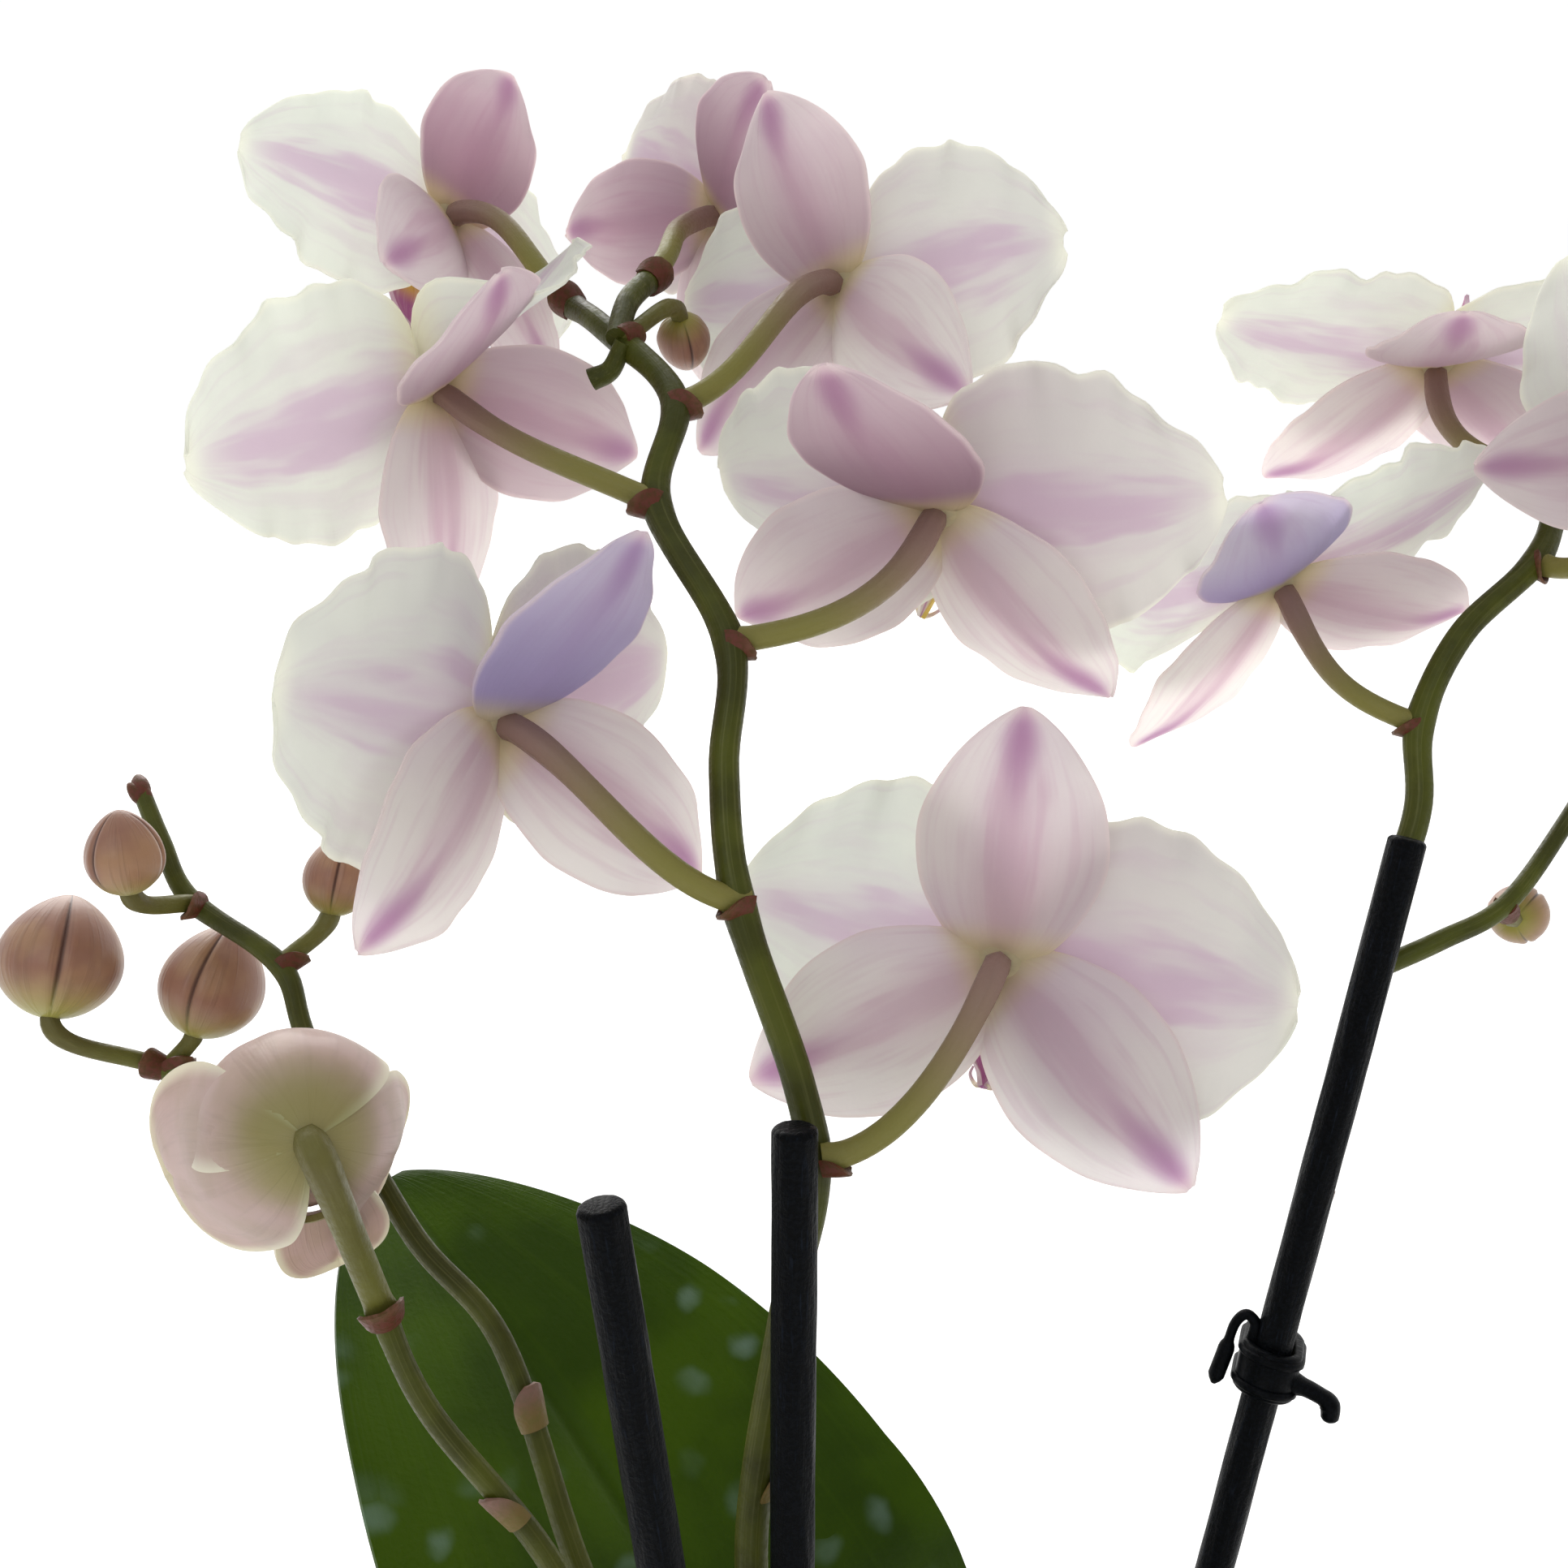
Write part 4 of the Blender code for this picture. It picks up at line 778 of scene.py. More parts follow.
def stemMaterial():
    # tone 0 is stem green, 1 a flower stalk that turns mauve towards its end, 2 a dry bract
    made, tree, shader = startMaterial("stemSkin", {
        "Specular IOR Level": 0.22, "Coat Weight": 0.03, "Coat Roughness": 0.35})
    tone, axes, spots = readTone(tree), splitAxes(tree, readMap(tree)), addSpots(tree, 0.012, 0.0007)
    fibre = addNoise(tree, stretchMap(tree, axes, 12.0, 6.0), 1.5, 3.0)
    green = mixColour(tree, spots["Blotch"], stemLook["deep"], stemLook["light"])
    green = mixColour(tree, ramp(tree, fibre, 0.5, 0.75, 0.0, 0.15), green, stemLook["cream"])
    green = mixColour(tree, ramp(tree, tone, 0.2, 0.9), green, stemLook["stalk"])
    stalkShare = times(tree, ramp(tree, axes[1], 0.25, 0.95), ramp(tree, tone, 0.4, 0.9))
    dry = mixColour(tree, ramp(tree, axes[1], 0.5, 1.0, 0.0, 0.7), stemLook["bract"], stemLook["bractRim"])
    dry = mixColour(tree, times(tree, spots["Speck"], 0.4), dry, stemLook["deep"])
    skin = mixColour(tree, stalkShare, green, stemLook["mauve"])
    height = calc(tree, "ADD", fibre, times(tree, spots["Speck"], 0.3))
    setInputs(tree, shader, {
        "Base Color": mixColour(tree, ramp(tree, tone, 1.4, 1.8), skin, dry),
        "Roughness": ramp(tree, spots["Speck"], 0.0, 1.0, 0.42, 0.58), "Normal": bumpFrom(tree, height, 0.00015, 0.5)})
    return made


stemFinish = stemMaterial()


def bractPart(at, along, outward, radius, length):
    # a scale that clasps the stem: a sleeve round part of it, which narrows to a point and stands off at its tip
    along = toUnit(along)
    outward = toUnit(np.asarray(outward, float) - along * np.dot(outward, along))
    sideways = np.cross(along, outward)
    s = np.linspace(0, 1, 14)[:, None]
    v = np.linspace(-1, 1, 13)[None, :]
    angle = v * 1.9 * np.sqrt(1 - 0.97 * s**1.6)
    distance = radius * (1.06 + 0.12 * np.sin(np.pi * s)) + 0.7 * s**2
    points = (np.asarray(at, float) + (s * length)[:, :, None] * along
              + (distance * np.cos(angle))[:, :, None] * outward + (distance * np.sin(angle))[:, :, None] * sideways)
    return shellPart(points, 0.45)


def stalkShape(along, angle):
    # ribs that grow towards the flower, and a swelling at both ends
    ribs = 1 + 0.06 * np.cos(6 * angle) * smoothRise(along, 0.35, 0.8)
    return ribs * (1 + 0.22 * bump(along, 0.0, 0.05) + 0.1 * bump(along, 0.86, 0.12))


def buildSpike(name):
    stem = stems[name]
    path = stemPath(name)
    starts = {key: value[0] for key, value in flowerStalks.get(name, {}).items()}
    starts.update({key: value[0] for key, value in budLayout.items() if value[5] == name})
    share = np.linspace(0, 1, len(path))
    radii = (stem["diameter"] + (stem["tip"] - stem["diameter"]) * share) / 2
    for at in starts.values():
        radii = radii * (1 + 0.13 * bump(np.linalg.norm(path - np.asarray(at, float), axis=1), 0, 4.0))
    parts = [tubePart(path, radii, 22, lambda along, angle: 1 + 0.025 * np.cos(5 * angle + 3 * along))]
    tones = [0.0]
    for points, thick, thin in sideStems.get(name, []):
        branch = evenly(smoothCurve(points, 12), 60)
        parts.append(tubePart(branch, np.linspace(thick, thin, len(branch)) / 2, 16))
        tones.append(0.0)
    for key, start in starts.items():
        if key in budLayout:
            line, thick = budStalkPath(key), stalk["budDiameter"]
            thick = thick * (1.45 if key == "bud_4" else 1)
        else:
            line, thick = stalkPath(key, *flowerStalks[name][key]), stalk["diameter"]
        parts.append(tubePart(line, thick / 2, 18, stalkShape))
        tones.append(1.0 if key not in budLayout else 0.5)
        near = np.argmin(np.linalg.norm(path - np.asarray(start, float), axis=1))
        leaving = toUnit(line[4] - line[0])
        upward = toUnit(np.gradient(path, axis=0)[near])
        below = toUnit(-upward + leaving * 0.2)
        parts.append(bractPart(line[0] - leaving * 0.4, leaving, below, thick / 2 * 1.2, 3.8))
        tones.append(2.0)
    for k, (turn, size) in enumerate(((0.0, 1.0), (2.3, 0.8), (4.4, 0.7), (1.1, 0.55))):
        # a cluster of unopened scales at the very tip
        outward = toUnit(np.cross(path[-1] - path[-4], (math.cos(turn), math.sin(turn), 0.3)))
        tip = toUnit(toUnit(path[-1] - path[-4]) + outward * 0.35)
        scale = turnedPart(eggProfile(5.4 * size, 2.9 * size, 12), 14)
        parts.append(movePart(scale, turnTo(tip), path[-1] + outward * 0.9 * (k > 0) + tip * (0.6 - 1.1 * k)))
        tones.append(2.0)
    for height in stemNodes.get(name, []):
        near = np.argmin(np.abs(path[:, 2] - height))
        upward = toUnit(np.gradient(path, axis=0)[near])
        parts.append(bractPart(path[near] - upward, upward, stemNodeSide[name], radii[near], 6.0))
        tones.append(1.6)
    addPiece("stem_" + name, parts, stemFinish, "spike_" + name, tones)
    return path


stemNodes = {"left_front": [284, 240], "left_back": [290, 230], "centre": [228, 276], "right": [200, 285]}
stemNodeSide = {"left_front": (-0.6, -0.8, 0), "left_back": (0.7, -0.7, 0), "centre": (0.8, 0.6, 0),
                "right": (0.5, -0.8, 0)}
stemPaths = {name: buildSpike(name) for name in stems}
print("spikes grown")

# Buds

budLook = {"body": (144, 100, 78), "second": (162, 122, 88), "foot": (150, 146, 40), "seam": (70, 42, 34),
           "pale": (214, 186, 176), "palePatch": (204, 178, 160), "paleRim": (244, 238, 214)}


def budMaterial(name, pale):
    made, tree, shader = startMaterial(name, {"Roughness": 0.45, "Sheen Weight": 0.15, "Coat Weight": 0.1})
    across, along = splitAxes(tree, readMap(tree))[:2]
    veins, spots = addVeins(tree, 24.0), addSpots(tree, 0.008, 0.0007)
    first, second = ("pale", "palePatch") if pale else ("body", "second")
    body = mixColour(tree, spots["Blotch"], budLook[first], budLook[second])
    body = mixColour(tree, times(tree, veins["Veins"], 0.07 if pale else 0.16), body, budLook["seam"])
    if not pale:
        # the three sepals meet where the map's first value is 1 and a third
        third = calc(tree, "ABSOLUTE", calc(tree, "SUBTRACT", across, 1 / 3))
        nearest = calc(tree, "MINIMUM", third, calc(tree, "SUBTRACT", 1.0, across))
        body = mixColour(tree, ramp(tree, nearest, 0.004, 0.022, 0.8, 0.0), body, budLook["seam"])
    body = mixColour(tree, times(tree, readTone(tree), veins["Rim"]), body, budLook["paleRim"])
    footReach, footShare = (0.24, 0.75) if pale else (0.42, 0.95)
    body = mixColour(tree, ramp(tree, along, 0.02, footReach, footShare, 0.0), body, budLook["foot"])
    setInputs(tree, shader, {"Base Color": body, "Normal": bumpFrom(tree, veins["Height"], 0.00015, 0.5)})
    if pale:
        letLightThrough(tree, shader, 0.35, {"Color": body})
    return made


budFinish = budMaterial("budSkin", False)
openBudFinish = budMaterial("openBudSkin", True)


def buildBud(name):
    middle, tip, length, width = budLayout[name][1:5]

    def seams(height, angle):
        # three seams, each a narrow furrow, and a slight roll of each sepal beside it
        near = np.abs(np.sin(1.5 * angle + 0 * height))
        return 1 - 0.07 * np.exp(-(near / 0.07)**2) + 0.03 * np.exp(-((near - 0.25) / 0.15)**2)

    part = turnedPart(eggProfile(length, width, 36), 66, seams)
    turned = movePart(part, turnTo(tip), middle)
    addPiece("skin_" + name, [turned], budFinish, name, [0.0])


def buildOpenBud(name):
    # an egg of closed petals inside three sepals that have begun to stand off it
    middle, tip, length, width = budLayout[name][1:5]
    axes = turnTo(tip)
    parts = [movePart(turnedPart(eggProfile(length * 0.8, width * 0.7, 30), 48,
                                 lambda height, angle: 1 - 0.05 * np.exp(-(np.sin(angle) / 0.1)**2)), axes, middle)]
    tones = [0.3]
    worldUp = axes @ np.array((0.0, 0.0, 1.0))
    upAngle = math.atan2(worldUp[1], worldUp[0])
    for turn, spread, low, grow, flare, lap, opened in openBudSepals:
        s = np.linspace(0.0, 1, 40)[:, None]
        v = np.linspace(-1, 1, 37)[None, :]
        height = low + (grow - low) * s
        body = np.sin(np.pi * np.clip(height, 0.002, 0.96)**0.86)**0.58
        body = body + opened * (1 - body) * smoothRise(height, 0.3, 0.8)
        radius = width / 2 * body * (0.99 + lap) + flare * smoothRise(s, 0.25, 1.0)
        angle = upAngle + turn + v * spread * (1 - s**4)**0.6 * (1 - 0.12 * s)
        radius = radius + 0.9 * np.abs(v)**5 * smoothRise(s, 0.1, 0.5) + 0.2 * np.sin(5 * s + 3 * v)
        radius = radius * (1 - 0.03 * bump(v, 0, 0.1) * s)
        points = np.stack([radius * np.cos(angle), radius * np.sin(angle), (height - 0.5) * length + 0 * angle],
                          axis=-1)
        part = shellPart(points, 0.8)
        parts.append(movePart(part, axes, middle))
        tones.append(1.0)
    addPiece("skin_" + name, parts, openBudFinish, name, tones)


# the way each sepal lies round the bud, half its spread, where it starts and ends, how far its end stands off, its lap,
# and how far it has let go of the egg
openBudSepals = [(-0.3, 1.55, 0.002, 0.93, 0.0, -0.12, 0.0), (-1.85, 1.2, 0.004, 0.94, 5.5, -0.14, 0.8),
                 (2.05, 0.95, 0.004, 0.92, 4.0, -0.18, 0.8), (2.95, 0.55, 0.3, 1.0, 9.5, -0.2, 1.0)]
for budName in budLayout:
    (buildOpenBud if budName == "bud_4" else buildBud)(budName)
print("buds made")

# Stakes and clips

# black plastic, and the blue grey of its painted highlights and small specks
plasticLook = {"black": (3, 4, 5), "glintAndSpeck": (30, 36, 46)}


def plasticMaterial(name, streaked):
    # a black sleeve, wrinkled lengthwise: painted highlights in a blue grey run along the wrinkles and follow the stake
    # through its own map, with small specks of the same grey
    made, tree, shader = startMaterial(name, {"Specular IOR Level": 0.06})
    wrinkle = addNoise(tree, stretchMap(tree, splitAxes(tree, readMap(tree)), 9.0, 30.0), 1.6, 5.0, 0.65)
    spots = addSpots(tree, 0.02, 0.0006)
    # painted highlights along the wrinkles, strong on the stakes and faint on the clips
    share = times(tree, ramp(tree, wrinkle, 0.56, 0.7), 0.6 if streaked else 0.15)
    body = mixColour(tree, share, plasticLook["black"], plasticLook["glintAndSpeck"])
    body = mixColour(tree, times(tree, spots["Speck"], 0.12), body, plasticLook["glintAndSpeck"])
    height = calc(tree, "ADD", wrinkle, times(tree, spots["Speck"], 0.2))
    setInputs(tree, shader, {
        "Base Color": body, "Roughness": ramp(tree, wrinkle, 0.4, 0.7, 0.36, 0.6),
        "Normal": bumpFrom(tree, height, 0.0004 if streaked else 0.0001, 0.7)})
    return made


stakeFinish = plasticMaterial("stakeSleeve", True)
clipFinish = plasticMaterial("clipPlastic", False)


def buildStake(name):
    # a rod with a rolled rim at its top and lengthwise wrinkles in its sleeve
    foot, top = stakeEnds(name)
    axis = toUnit(top - foot)
    radius = stakeSize["diameter"] / 2
    share = np.linspace(0, 1, stakeSize["rows"])
    path = foot + (top - foot - axis * 1.0)[None, :] * share[:, None]
    ends = [(0.3, 1.0), (0.6, 0.94), (0.85, 0.84), (0.95, 0.7), (0.9, 0.45), (0.86, 0.12)]
    path = np.vstack([path] + [top - axis * (1 - up) for up, _ in ends])
    radii = np.r_[np.full(stakeSize["rows"], radius), [radius * r for _, r in ends]]
    draw = np.random.default_rng(7 + len(name))
    phase = draw.uniform(0, 6.28, 4)

    def wrinkles(along, angle):
        return (1 + 0.012 * np.sin(7 * angle + 2.5 * np.sin(along * 40 + phase[0]) + phase[1])
                + 0.008 * np.sin(13 * angle + 2 * np.sin(along * 90 + phase[2])))

    addPiece("rod_" + name, [tubePart(path, radii, 48, wrinkles)], stakeFinish, "stake_" + name)


for stakeName in stakeLayout:
    buildStake(stakeName)


def slotRings(centre, spread, axis, offsets, sides):
    # rings whose outline is two half circles joined by straight sides: offsets are (radius, height) down the ring
    half = np.linalg.norm(spread) / 2
    right = toUnit(spread)
    ahead = np.cross(axis, right)
    angle = np.linspace(-np.pi / 2, np.pi / 2, sides // 2)
    x = np.r_[half + 0 * angle, -half + 0 * angle]
    cosine, sine = np.r_[np.cos(angle), -np.cos(angle)], np.r_[np.sin(angle), -np.sin(angle)]
    offsets = np.asarray(offsets, float)
    radius, height = offsets[:, :1], offsets[:, 1:]
    return (np.asarray(centre, float) + (x + radius * cosine)[:, :, None] * right
            + (radius * sine)[:, :, None] * ahead + (height + 0 * cosine)[:, :, None] * axis)


def collarPart(centre, spread, axis, inner, outer, half):
    # the ring's wall as one closed loop of outlines: up outside, over, down inside and back under
    bevel = 0.35
    offsets = [(outer, -half + bevel), (outer, half - bevel), (outer - bevel, half), (inner + bevel, half),
               (inner, half - bevel),
               (inner, -half + bevel), (inner + bevel, -half), (outer - bevel, -half)]
    rings = slotRings(centre, spread, axis, offsets + offsets[:1], 40)
    rows, columns = rings.shape[:2]
    faces = gridQuads(rows, columns, wrap=True) % ((rows - 1) * columns)
    mapped = gridMap(rows, columns).reshape(-1, 2)[:(rows - 1) * columns]
    return rings[:-1].reshape(-1, 3), [faces[:, ::-1]], mapped * (1, 0.1)


def buildClip(name, stakeName, stemName, height, tabTurn):
    foot, top = stakeEnds(stakeName)
    axis = toUnit(top - foot)
    atStake = stakePoint(stakeName, height)
    path = stemPaths[stemName]
    order = np.argsort(path[:, 2])
    atStem = np.array([np.interp(height, path[order, 2], path[order, k]) for k in range(3)])
    spread = atStem - atStake
    spread = spread - axis * np.dot(spread, axis)
    side = np.cross(axis, toUnit(spread)) * tabTurn
    inner, outer = stakeSize["diameter"] / 2 + 0.3, stakeSize["diameter"] / 2 + 1.9
    centre = atStake + spread / 2
    parts = [collarPart(centre, spread, axis, inner, outer, 4.0)]
    for band in (-2.6, 2.6):
        parts.append(collarPart(centre + axis * band, spread, axis, inner + 0.8, outer + 0.5, 0.7))
    start = atStake + side * (outer - 0.6) - axis
    tab = smoothCurve([start, start + side * 3.2 - axis * 0.3, start + side * 6.2 - axis * 1.4,
                       start + side * 7.0 - axis * 4.4], 8)
    tabRadii = np.interp(np.linspace(0, 1, len(tab)), [0, 0.2, 0.5, 0.7, 0.94, 1], [2.2, 1.6, 1.5, 1.9, 1.6, 0.5])
    parts.append(tubePart(tab, tabRadii, 18, lambda along, angle: 1 + 0.12 * np.cos(2 * angle)))
    start = atStake - side * (outer - 1.6) + axis * 3
    arm = smoothCurve([start, start - side * 0.2 + axis * 3.4, start - side * 2.0 + axis * 4.6,
                       start - side * 3.4 + axis * 2.4,
                       start - side * 3.8 - axis * 2.6, start - side * 4.4 - axis * 8.4], 8)
    armRadii = np.interp(np.linspace(0, 1, len(arm)), [0, 0.3, 0.72, 0.76, 0.96, 1], [1.3, 0.9, 0.8, 1.35, 1.35, 0.4])
    parts.append(tubePart(arm, armRadii, 16))
    addPiece("ring_" + name, parts, clipFinish, "clip_" + name)


buildClip("right", "right", "right", 262, -1)
buildClip("centre", "centre", "centre", 178, 1)
buildClip("left", "left", "left_front", 200, 1)
print("stakes and clips made")

# Leaves

leafLayout = {
    "leaf_1": ([(-7, 8, 110), (-13, 17, 155), (-16, 29, 203), (-31, 36, 233), (-55, 59, 257), (-86, 91, 276)], 84,
               (0.8, 0.6, 0.0)),
    "leaf_2": ([(9, -5, 108), (30, -14, 145), (62, -29, 178), (100, -46, 188), (135, -62, 172), (158, -72, 150)], 82,
               (0.43, 0.9, 0.0)),
    "leaf_3": ([(-10.5, 1, 104), (-33, 6, 118), (-68, 13, 135), (-104, 19, 136), (-134, 24, 121), (-151, 27, 104)], 78,
               (0.18, 0.98, 0.0)),
    "leaf_4": ([(6, 13, 104), (5, 34, 121), (2, 63, 137), (-2, 95, 137), (-5, 125, 124), (-7, 143, 106)], 74,
               (-1.0, -0.05, 0.0)),
    "leaf_5": ([(1, -1, 118.5), (4, -3, 138), (9, -7, 160), (15, -12, 178), (22, -17, 190)], 36, (-0.6, 0.8, 0.0)),
}
leafLook = {"thickness": 2.1, "foot": 0.07, "fullness": 1.25, "blunt": 0.62, "trough": 0.16, "rows": 110, "columns": 61,
            "deep": (48, 72, 1), "light": (80, 110, 2), "mark": (156, 184, 174)}


def leafMaterial():
    # deep green, darker along the midrib, with faint long veins and dried water spots, and a little light let through
    made, tree, shader = startMaterial("leafSkin", {
        "Coat Weight": 0.03, "Coat Roughness": 0.3, "Specular IOR Level": 0.2, "IOR": 1.4})
    axes, place, spots = splitAxes(tree, readMap(tree)), readPlace(tree), addSpots(tree, 0.03, 0.0009)
    lines = addNoise(tree, stretchMap(tree, axes, 46.0, 2.0), 1.0, 2.0)
    body = mixColour(tree, times(tree, spots["Blotch"], 0.5), leafLook["deep"], leafLook["light"])
    body = mixColour(tree, ramp(tree, lines, 0.5, 0.75, 0.0, 0.12), body, leafLook["light"])
    body = mixColour(tree, ramp(tree, fromMiddle(tree, axes[0]), 0.0, 0.05, 0.5, 0.0), body, leafLook["deep"])
    smear = addNode(tree, "ShaderNodeTexNoise", {"Vector": place, "Scale": 120.0, "Detail": 2.0}).outputs["Color"]
    smeared = addNode(tree, "ShaderNodeVectorMath", {0: smear, 1: (0.005, 0.005, 0.005), 2: place},
                      operation="MULTIPLY_ADD")
    cells = addNode(tree, "ShaderNodeTexVoronoi", {"Vector": smeared.outputs[0], "Scale": 115.0,
                                                   "Randomness": 1.0}).outputs
    chosen = ramp(tree, splitAxes(tree, cells["Color"])[0], 0.3, 0.6)
    drop = times(tree, ramp(tree, cells["Distance"], 0.1, 0.42, 1.0, 0.0), chosen)
    mark = times(tree, drop, ramp(tree, addNoise(tree, place, 28.0, 2.0), 0.36, 0.6, 0.0, 0.4))
    body = mixColour(tree, mark, body, leafLook["mark"])
    height = calc(tree, "ADD", times(tree, lines, 0.7), times(tree, spots["Speck"], 0.15))
    normal = bumpFrom(tree, height, 0.0003, 0.6)
    setInputs(tree, shader, {"Base Color": body, "Roughness": ramp(tree, mark, 0.0, 0.5, 0.3, 0.7), "Normal": normal})
    letLightThrough(tree, shader, 0.3, {"Color": body, "Normal": normal})
    return made


leafFinish = leafMaterial()


def buildLeaf(name, number):
    # half width: a clasping foot plus a sine of the share of length; across it, a trough and a narrow furrow
    points, width, across = leafLayout[name]
    draw = np.random.default_rng(40 + number)
    phase = draw.uniform(0, 6.28, 3)
    rows, columns = leafLook["rows"], leafLook["columns"]
    t = np.linspace(0, 1, rows)
    share = 0.996 * (1 - (1 - t)**1.4)
    curve = evenly(smoothCurve(points, 16), 400)
    path = np.stack([np.interp(share, np.linspace(0, 1, 400), curve[:, k]) for k in range(3)], axis=1)
    v = np.sin(np.linspace(-1, 1, columns) * np.pi / 2 * 0.85) / np.sin(np.pi / 2 * 0.85)
    belly = np.sin(np.pi * share**leafLook["fullness"])**leafLook["blunt"]
    half = leafLook["foot"] * width * (1 - share) + (width / 2 - 1.0) * belly
    along = toUnit(np.gradient(path, axis=0))
    level = toUnit(across)
    side = toUnit(level - along * (along @ level)[:, None])
    face = np.cross(side, along)
    face = face * np.sign(face[:, 2])[:, None]
    away = np.abs(v)[None, :]
    midGroove = 1.1 * bump(away, 0, 0.05) * smoothRise(1 - share, 0.0, 0.3)[:, None]
    lift = leafLook["trough"] * half[:, None] * away**1.3 - midGroove
    lift = lift + 0.9 * np.sin(share * 9 + phase[0])[:, None] * away**2 * np.where(v < 0, 1, -0.7)[None, :]
    spreadOut = (half[:, None] * v[None, :])[:, :, None] * side[:, None, :]
    grid = path[:, None, :] + spreadOut + lift[:, :, None] * face[:, None, :]
    edge = np.maximum(away**5, (np.linspace(0, 1, rows)**14)[:, None])
    part = shellPart(grid, leafLook["thickness"] - (leafLook["thickness"] - 0.8) * edge)
    addPiece("blade_" + str(number), [part], leafFinish, name)


for index, leafName in enumerate(leafLayout, 1):
    buildLeaf(leafName, index)
print("leaves made")

# Pot, bark, crown and roots

potSize = {"top": 124.0, "base": 92.0, "height": 112.0, "wall": 4.0, "floor": 6.0, "rimHeight": 10.0, "rimOut": 2.5}
potLook = {"body": (214, 208, 197), "second": (203, 195, 182), "speck": (140, 126, 108)}


def potMaterial():
    # a pale glaze over faint throwing lines, with small iron specks
    made, tree, shader = startMaterial("potGlaze", {"Coat Weight": 0.5, "Coat Roughness": 0.12})
    place, spots = readPlace(tree), addSpots(tree, 0.03, 0.0012)
    body = mixColour(tree, spots["Blotch"], potLook["body"], potLook["second"])
    body = mixColour(tree, ramp(tree, addNoise(tree, place, 420.0, 1.0), 0.7, 0.76, 0.0, 0.7), body, potLook["speck"])
    turned = addNode(tree, "ShaderNodeCombineXYZ", {2: times(tree, splitAxes(tree, place)[2], 260.0)}).outputs[0]
    height = calc(tree, "ADD", addNoise(tree, turned, 1.0, 2.0), times(tree, spots["Speck"], 0.15))
    setInputs(tree, shader, {
        "Base Color": body, "Roughness": ramp(tree, spots["Blotch"], 0.0, 1.0, 0.26, 0.4),
        "Normal": bumpFrom(tree, height, 0.0004, 0.5)})
    return made


def roundedProfile(corners, radius, steps=6):
    # each inner corner of the profile becomes a short curve
    corners = np.asarray(corners, float)
    made = [corners[0]]
    for before, corner, after in zip(corners, corners[1:], corners[2:]):
        reach = min(radius, np.linalg.norm(before - corner) * 0.45, np.linalg.norm(after - corner) * 0.45)
        start, end = corner + toUnit(before - corner) * reach, corner + toUnit(after - corner) * reach
        t = np.linspace(0, 1, steps)[:, None]
        made.extend((1 - t)**2 * start + 2 * (1 - t) * t * corner + t**2 * end)
    made.append(corners[-1])
    return np.array(made)


def wallRadius(height):
    share = height / potSize["height"]
    return (potSize["base"] * (1 - share) + potSize["top"] * share) / 2 - potSize["rimOut"] * share


def buildPot():
    top, height = potSize["top"] / 2, potSize["height"]
    rimFoot = height - potSize["rimHeight"]
    inside = top - potSize["rimOut"] - potSize["wall"]
    corners = [(0.01, 0.0), (potSize["base"] / 2 - 1.5, 0.0), (potSize["base"] / 2, 1.5),
               (wallRadius(rimFoot - 2), rimFoot - 2),
               (top, rimFoot), (top, height), (inside, height), (inside, height - 2),
               (wallRadius(potSize["floor"]) - potSize["wall"], potSize["floor"]), (0.01, potSize["floor"])]
    profile = roundedProfile(corners, 1.4)
    addPiece("potBody", [turnedPart(profile, 128)], potMaterial(), "pot")


barkLook = {"dark": (70, 44, 28), "light": (134, 94, 62), "chips": 230, "top": 99.0}


def barkMaterial():
    made, tree, shader = startMaterial("barkChips", {"Roughness": 0.85})
    spots, grain = addSpots(tree, 0.009, 0.0009), addNoise(tree, readPlace(tree), 600.0, 4.0, 0.7)
    body = mixColour(tree, readTone(tree), barkLook["dark"], barkLook["light"])
    body = mixColour(tree, times(tree, spots["Blotch"], 0.6), body, barkLook["dark"])
    body = mixColour(tree, ramp(tree, grain, 0.5, 0.7, 0.0, 0.35), body, barkLook["light"])
    height = calc(tree, "ADD", grain, times(tree, spots["Speck"], 0.5))
    setInputs(tree, shader, {
        "Base Color": body, "Roughness": ramp(tree, grain, 0.4, 0.7, 0.95, 0.7),
        "Normal": bumpFrom(tree, height, 0.0006, 0.8)})
    return made


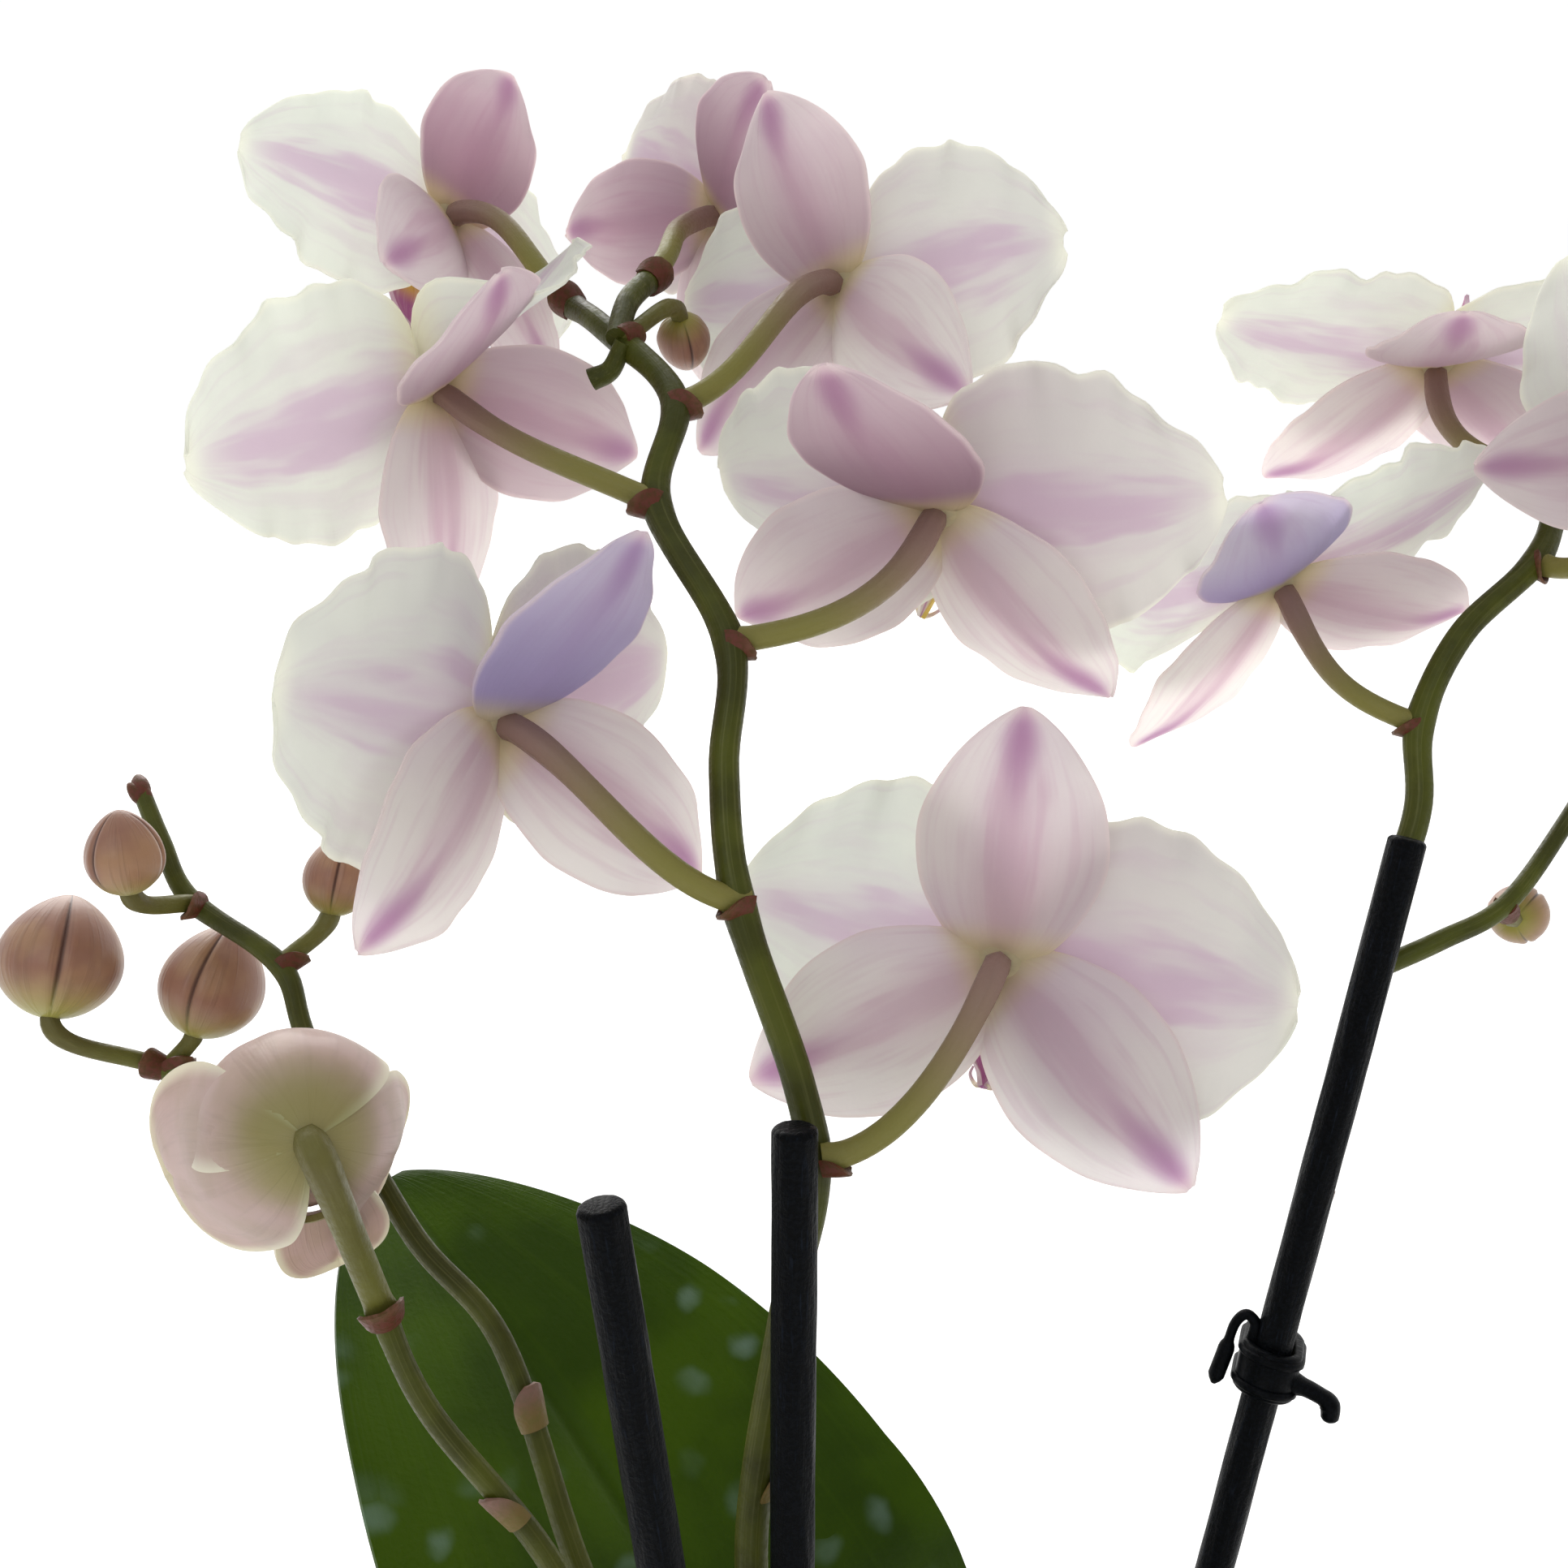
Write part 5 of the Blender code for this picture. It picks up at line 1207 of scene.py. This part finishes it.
def buildBark():
    # a lumpy bed, and chips: one small block with rough corners, drawn out, turned and scattered over the bed
    draw = np.random.default_rng(5)
    edge = wallRadius(barkLook["top"]) - potSize["wall"] - 0.5
    floorRadius = wallRadius(6.5) - potSize["wall"] - 1
    radii = np.r_[0.01, floorRadius, edge, np.linspace(edge * 0.97, 0.01, 24)]
    heights = np.r_[6.5, 6.5, barkLook["top"] - 4, np.full(24, barkLook["top"] - 2.0)]
    bed = turnedPart(np.stack([radii, heights], axis=1), 96)
    points = bed[0]
    lump = 1.2 * np.sin(points[:, 0] * 0.5 + 2 * np.sin(points[:, 1] * 0.33)) * np.cos(points[:, 1] * 0.47)
    points[:, 2] += np.where(points[:, 2] > barkLook["top"] - 3, lump, 0)
    parts, tones = [bed], [0.1]
    for k in range(barkLook["chips"]):
        angle, ring = draw.uniform(0, 6.28), edge * math.sqrt(draw.uniform(0.02, 0.93))
        size = draw.uniform((3.5, 2.5, 1.1), (7.5, 4.5, 2.4))
        place = (ring * math.cos(angle) * 0.93, ring * math.sin(angle) * 0.93,
                 barkLook["top"] - 1.2 + draw.uniform(-0.6, 1.6))
        turn = np.linspace(0, 2 * np.pi, 8, endpoint=False)
        corner = (np.abs(np.cos(turn))**6 + np.abs(np.sin(turn))**6)**(-1 / 6)
        level = np.array([-0.98, -0.8, 0.0, 0.8, 0.98])[:, None]
        girth = np.array([0.55, 0.93, 1.0, 0.93, 0.5])[:, None]
        rough = draw.normal(1, 0.09, (5, 8))
        rings = np.stack([level * size[0] + draw.normal(0, 0.25, (5, 8)),
                          girth * corner * np.cos(turn) * rough * size[1],
                          girth * corner * np.sin(turn) * rough * size[2]], axis=-1)
        tilt = turnTo((math.cos(angle * 3), math.sin(angle * 3), draw.uniform(-0.25, 0.25)))[[2, 0, 1]]
        parts.append(movePart(ringsPart(rings), tilt, place))
        tones.append(draw.uniform(0, 1))
    addPiece("barkBed", parts, barkMaterial(), "bark", tones)


def buildCrown():
    # a short stem wrapped by the feet of old leaves
    parts = [turnedPart([(0.01, 84), (4.5, 84), (8.3, 92), (8.8, 102), (7.6, 110), (4.2, 115.5), (0.01, 116.8)], 40,
                        lambda height, angle: 1 + 0.05 * np.cos(4 * angle + height * 0.2))]
    for (angle, low) in ((0.2, 101), (2.2, 103), (3.5, 100), (4.9, 102), (1.3, 106), (5.8, 105)):
        outward = (math.cos(angle), math.sin(angle), 0)
        parts.append(bractPart((0, 0, low - 4), (0, 0, 1), outward, 7.9, 9.5))
    addPiece("crownStem", parts, stemFinish, "crown", [0.0] + [2.0] * 6)


rootLayout = {
    "root_1": [(10.2, 3.2, 105.8), (22, 8, 105.8), (36, 11, 105.6), (43, 12, 105.4)],
    "root_2": [(-1, -10.6, 105.8), (3, -22, 105.8), (9, -34, 105.6), (15, -43, 105.4)],
}
rootLook = {"silver": (172, 178, 160), "green": (112, 134, 72), "tip": (120, 150, 60)}


def rootMaterial():
    made, tree, shader = startMaterial("rootSkin", {"Roughness": 0.7})
    spots = addSpots(tree, 0.005, 0.0008)
    body = mixColour(tree, spots["Blotch"], rootLook["silver"], rootLook["green"])
    body = mixColour(tree, ramp(tree, splitAxes(tree, readMap(tree))[1], 0.86, 0.97), body, rootLook["tip"])
    setInputs(tree, shader, {"Base Color": body, "Normal": bumpFrom(tree, spots["Speck"], 0.0003, 0.6)})
    return made


def buildRoots():
    finish = rootMaterial()
    for number, (name, points) in enumerate(rootLayout.items(), 1):
        path = evenly(smoothCurve(points, 20), 90)
        share = np.linspace(0, 1, 90)
        path[:, 0] += 0.5 * np.sin(share * 17 + number)
        path[:, 2] += 0.35 * np.sin(share * 11 + number)
        radii = np.interp(share, [0, 0.1, 0.85, 0.95, 1], [2.5, 2.4, 1.7, 1.3, 0.25])
        addPiece(f"aerialRoot_{number}", [tubePart(path, radii, 20,
                                                   lambda along, angle: 1 + 0.04 * np.sin(3 * angle + 30 * along))],
                 finish, name)


buildPot()
buildBark()
buildCrown()
buildRoots()
print("pot filled")

# Camera, light and ground

viewing = {"place": (-0.014, -0.180, 0.450), "pitchDown": 20.0, "lens": 40.0, "sensor": 36.0}
lens = bpy.data.cameras.new("viewCamera")
lens.lens, lens.sensor_width, lens.clip_start = viewing["lens"], viewing["sensor"], 0.005
camera = bpy.data.objects.new("viewCamera", lens)
camera.location = viewing["place"]
camera.rotation_euler = (math.radians(90 - viewing["pitchDown"]), 0, 0)
bpy.context.scene.collection.objects.link(camera)
bpy.context.scene.camera = camera

studio = {
    # place, aimed at, width, power in watts, colour
    "backLight": ((-0.5, 1.5, 1.1), (0.0, 0.08, 0.38), 1.3, 20.0, (1.0, 0.985, 0.95)),
    "skyLight": ((-0.5, -1.3, 1.5), (0.0, 0.08, 0.38), 1.4, 7.0, (0.84, 0.9, 1.0)),
}
for lightName, (place, aim, width, power, colour) in studio.items():
    lamp = bpy.data.lights.new(lightName, "AREA")
    lamp.energy, lamp.size, lamp.color = power, width, colour
    holder = bpy.data.objects.new(lightName, lamp)
    holder.location = place
    away = np.asarray(place) - np.asarray(aim)
    holder.rotation_euler = (math.atan2(math.hypot(away[0], away[1]), away[2]), 0, math.atan2(away[0], -away[1]))
    bpy.context.scene.collection.objects.link(holder)

# the sky is brighter behind the plant than in front of it, and plain white where the camera sees it
sky = {"front": 0.42, "behind": 1.25, "seen": 1.02}
surroundings = bpy.data.worlds.new("softWhite")
surroundings.use_nodes = True
worldTree = surroundings.node_tree
direction = splitAxes(worldTree, addNode(worldTree, "ShaderNodeTexCoord").outputs["Generated"])
glow = addNode(worldTree, "ShaderNodeMapRange", {"Value": direction[1], "From Min": -0.6, "From Max": 0.8,
                                                 "To Min": sky["front"], "To Max": sky["behind"]}).outputs[0]
seen = addNode(worldTree, "ShaderNodeLightPath").outputs["Is Camera Ray"]
level = addNode(worldTree, "ShaderNodeMix", {0: seen, 2: glow, 3: sky["seen"]}, data_type="FLOAT").outputs[0]
worldTree.nodes["Background"].inputs["Color"].default_value = (1.0, 1.0, 1.0, 1.0)
worldTree.links.new(level, worldTree.nodes["Background"].inputs["Strength"])
bpy.context.scene.world = surroundings
bpy.context.scene.view_settings.view_transform = "Standard"

floorMesh = bpy.data.meshes.new("floor")
reach = 12.0
corners = [(-reach, -reach, 0), (reach, -reach, 0), (reach, reach, 0), (-reach, reach, 0)]
floorMesh.from_pydata(corners, [], [(0, 1, 2, 3)])
floorMesh.materials.append(startMaterial("paleFloor", {
    "Base Color": (0.9, 0.9, 0.9, 1), "Roughness": 0.95, "Emission Color": (1, 1, 1, 1), "Emission Strength": 0.28})[0])
floor = bpy.data.objects.new("floor", floorMesh)
bpy.context.scene.collection.objects.link(floor)
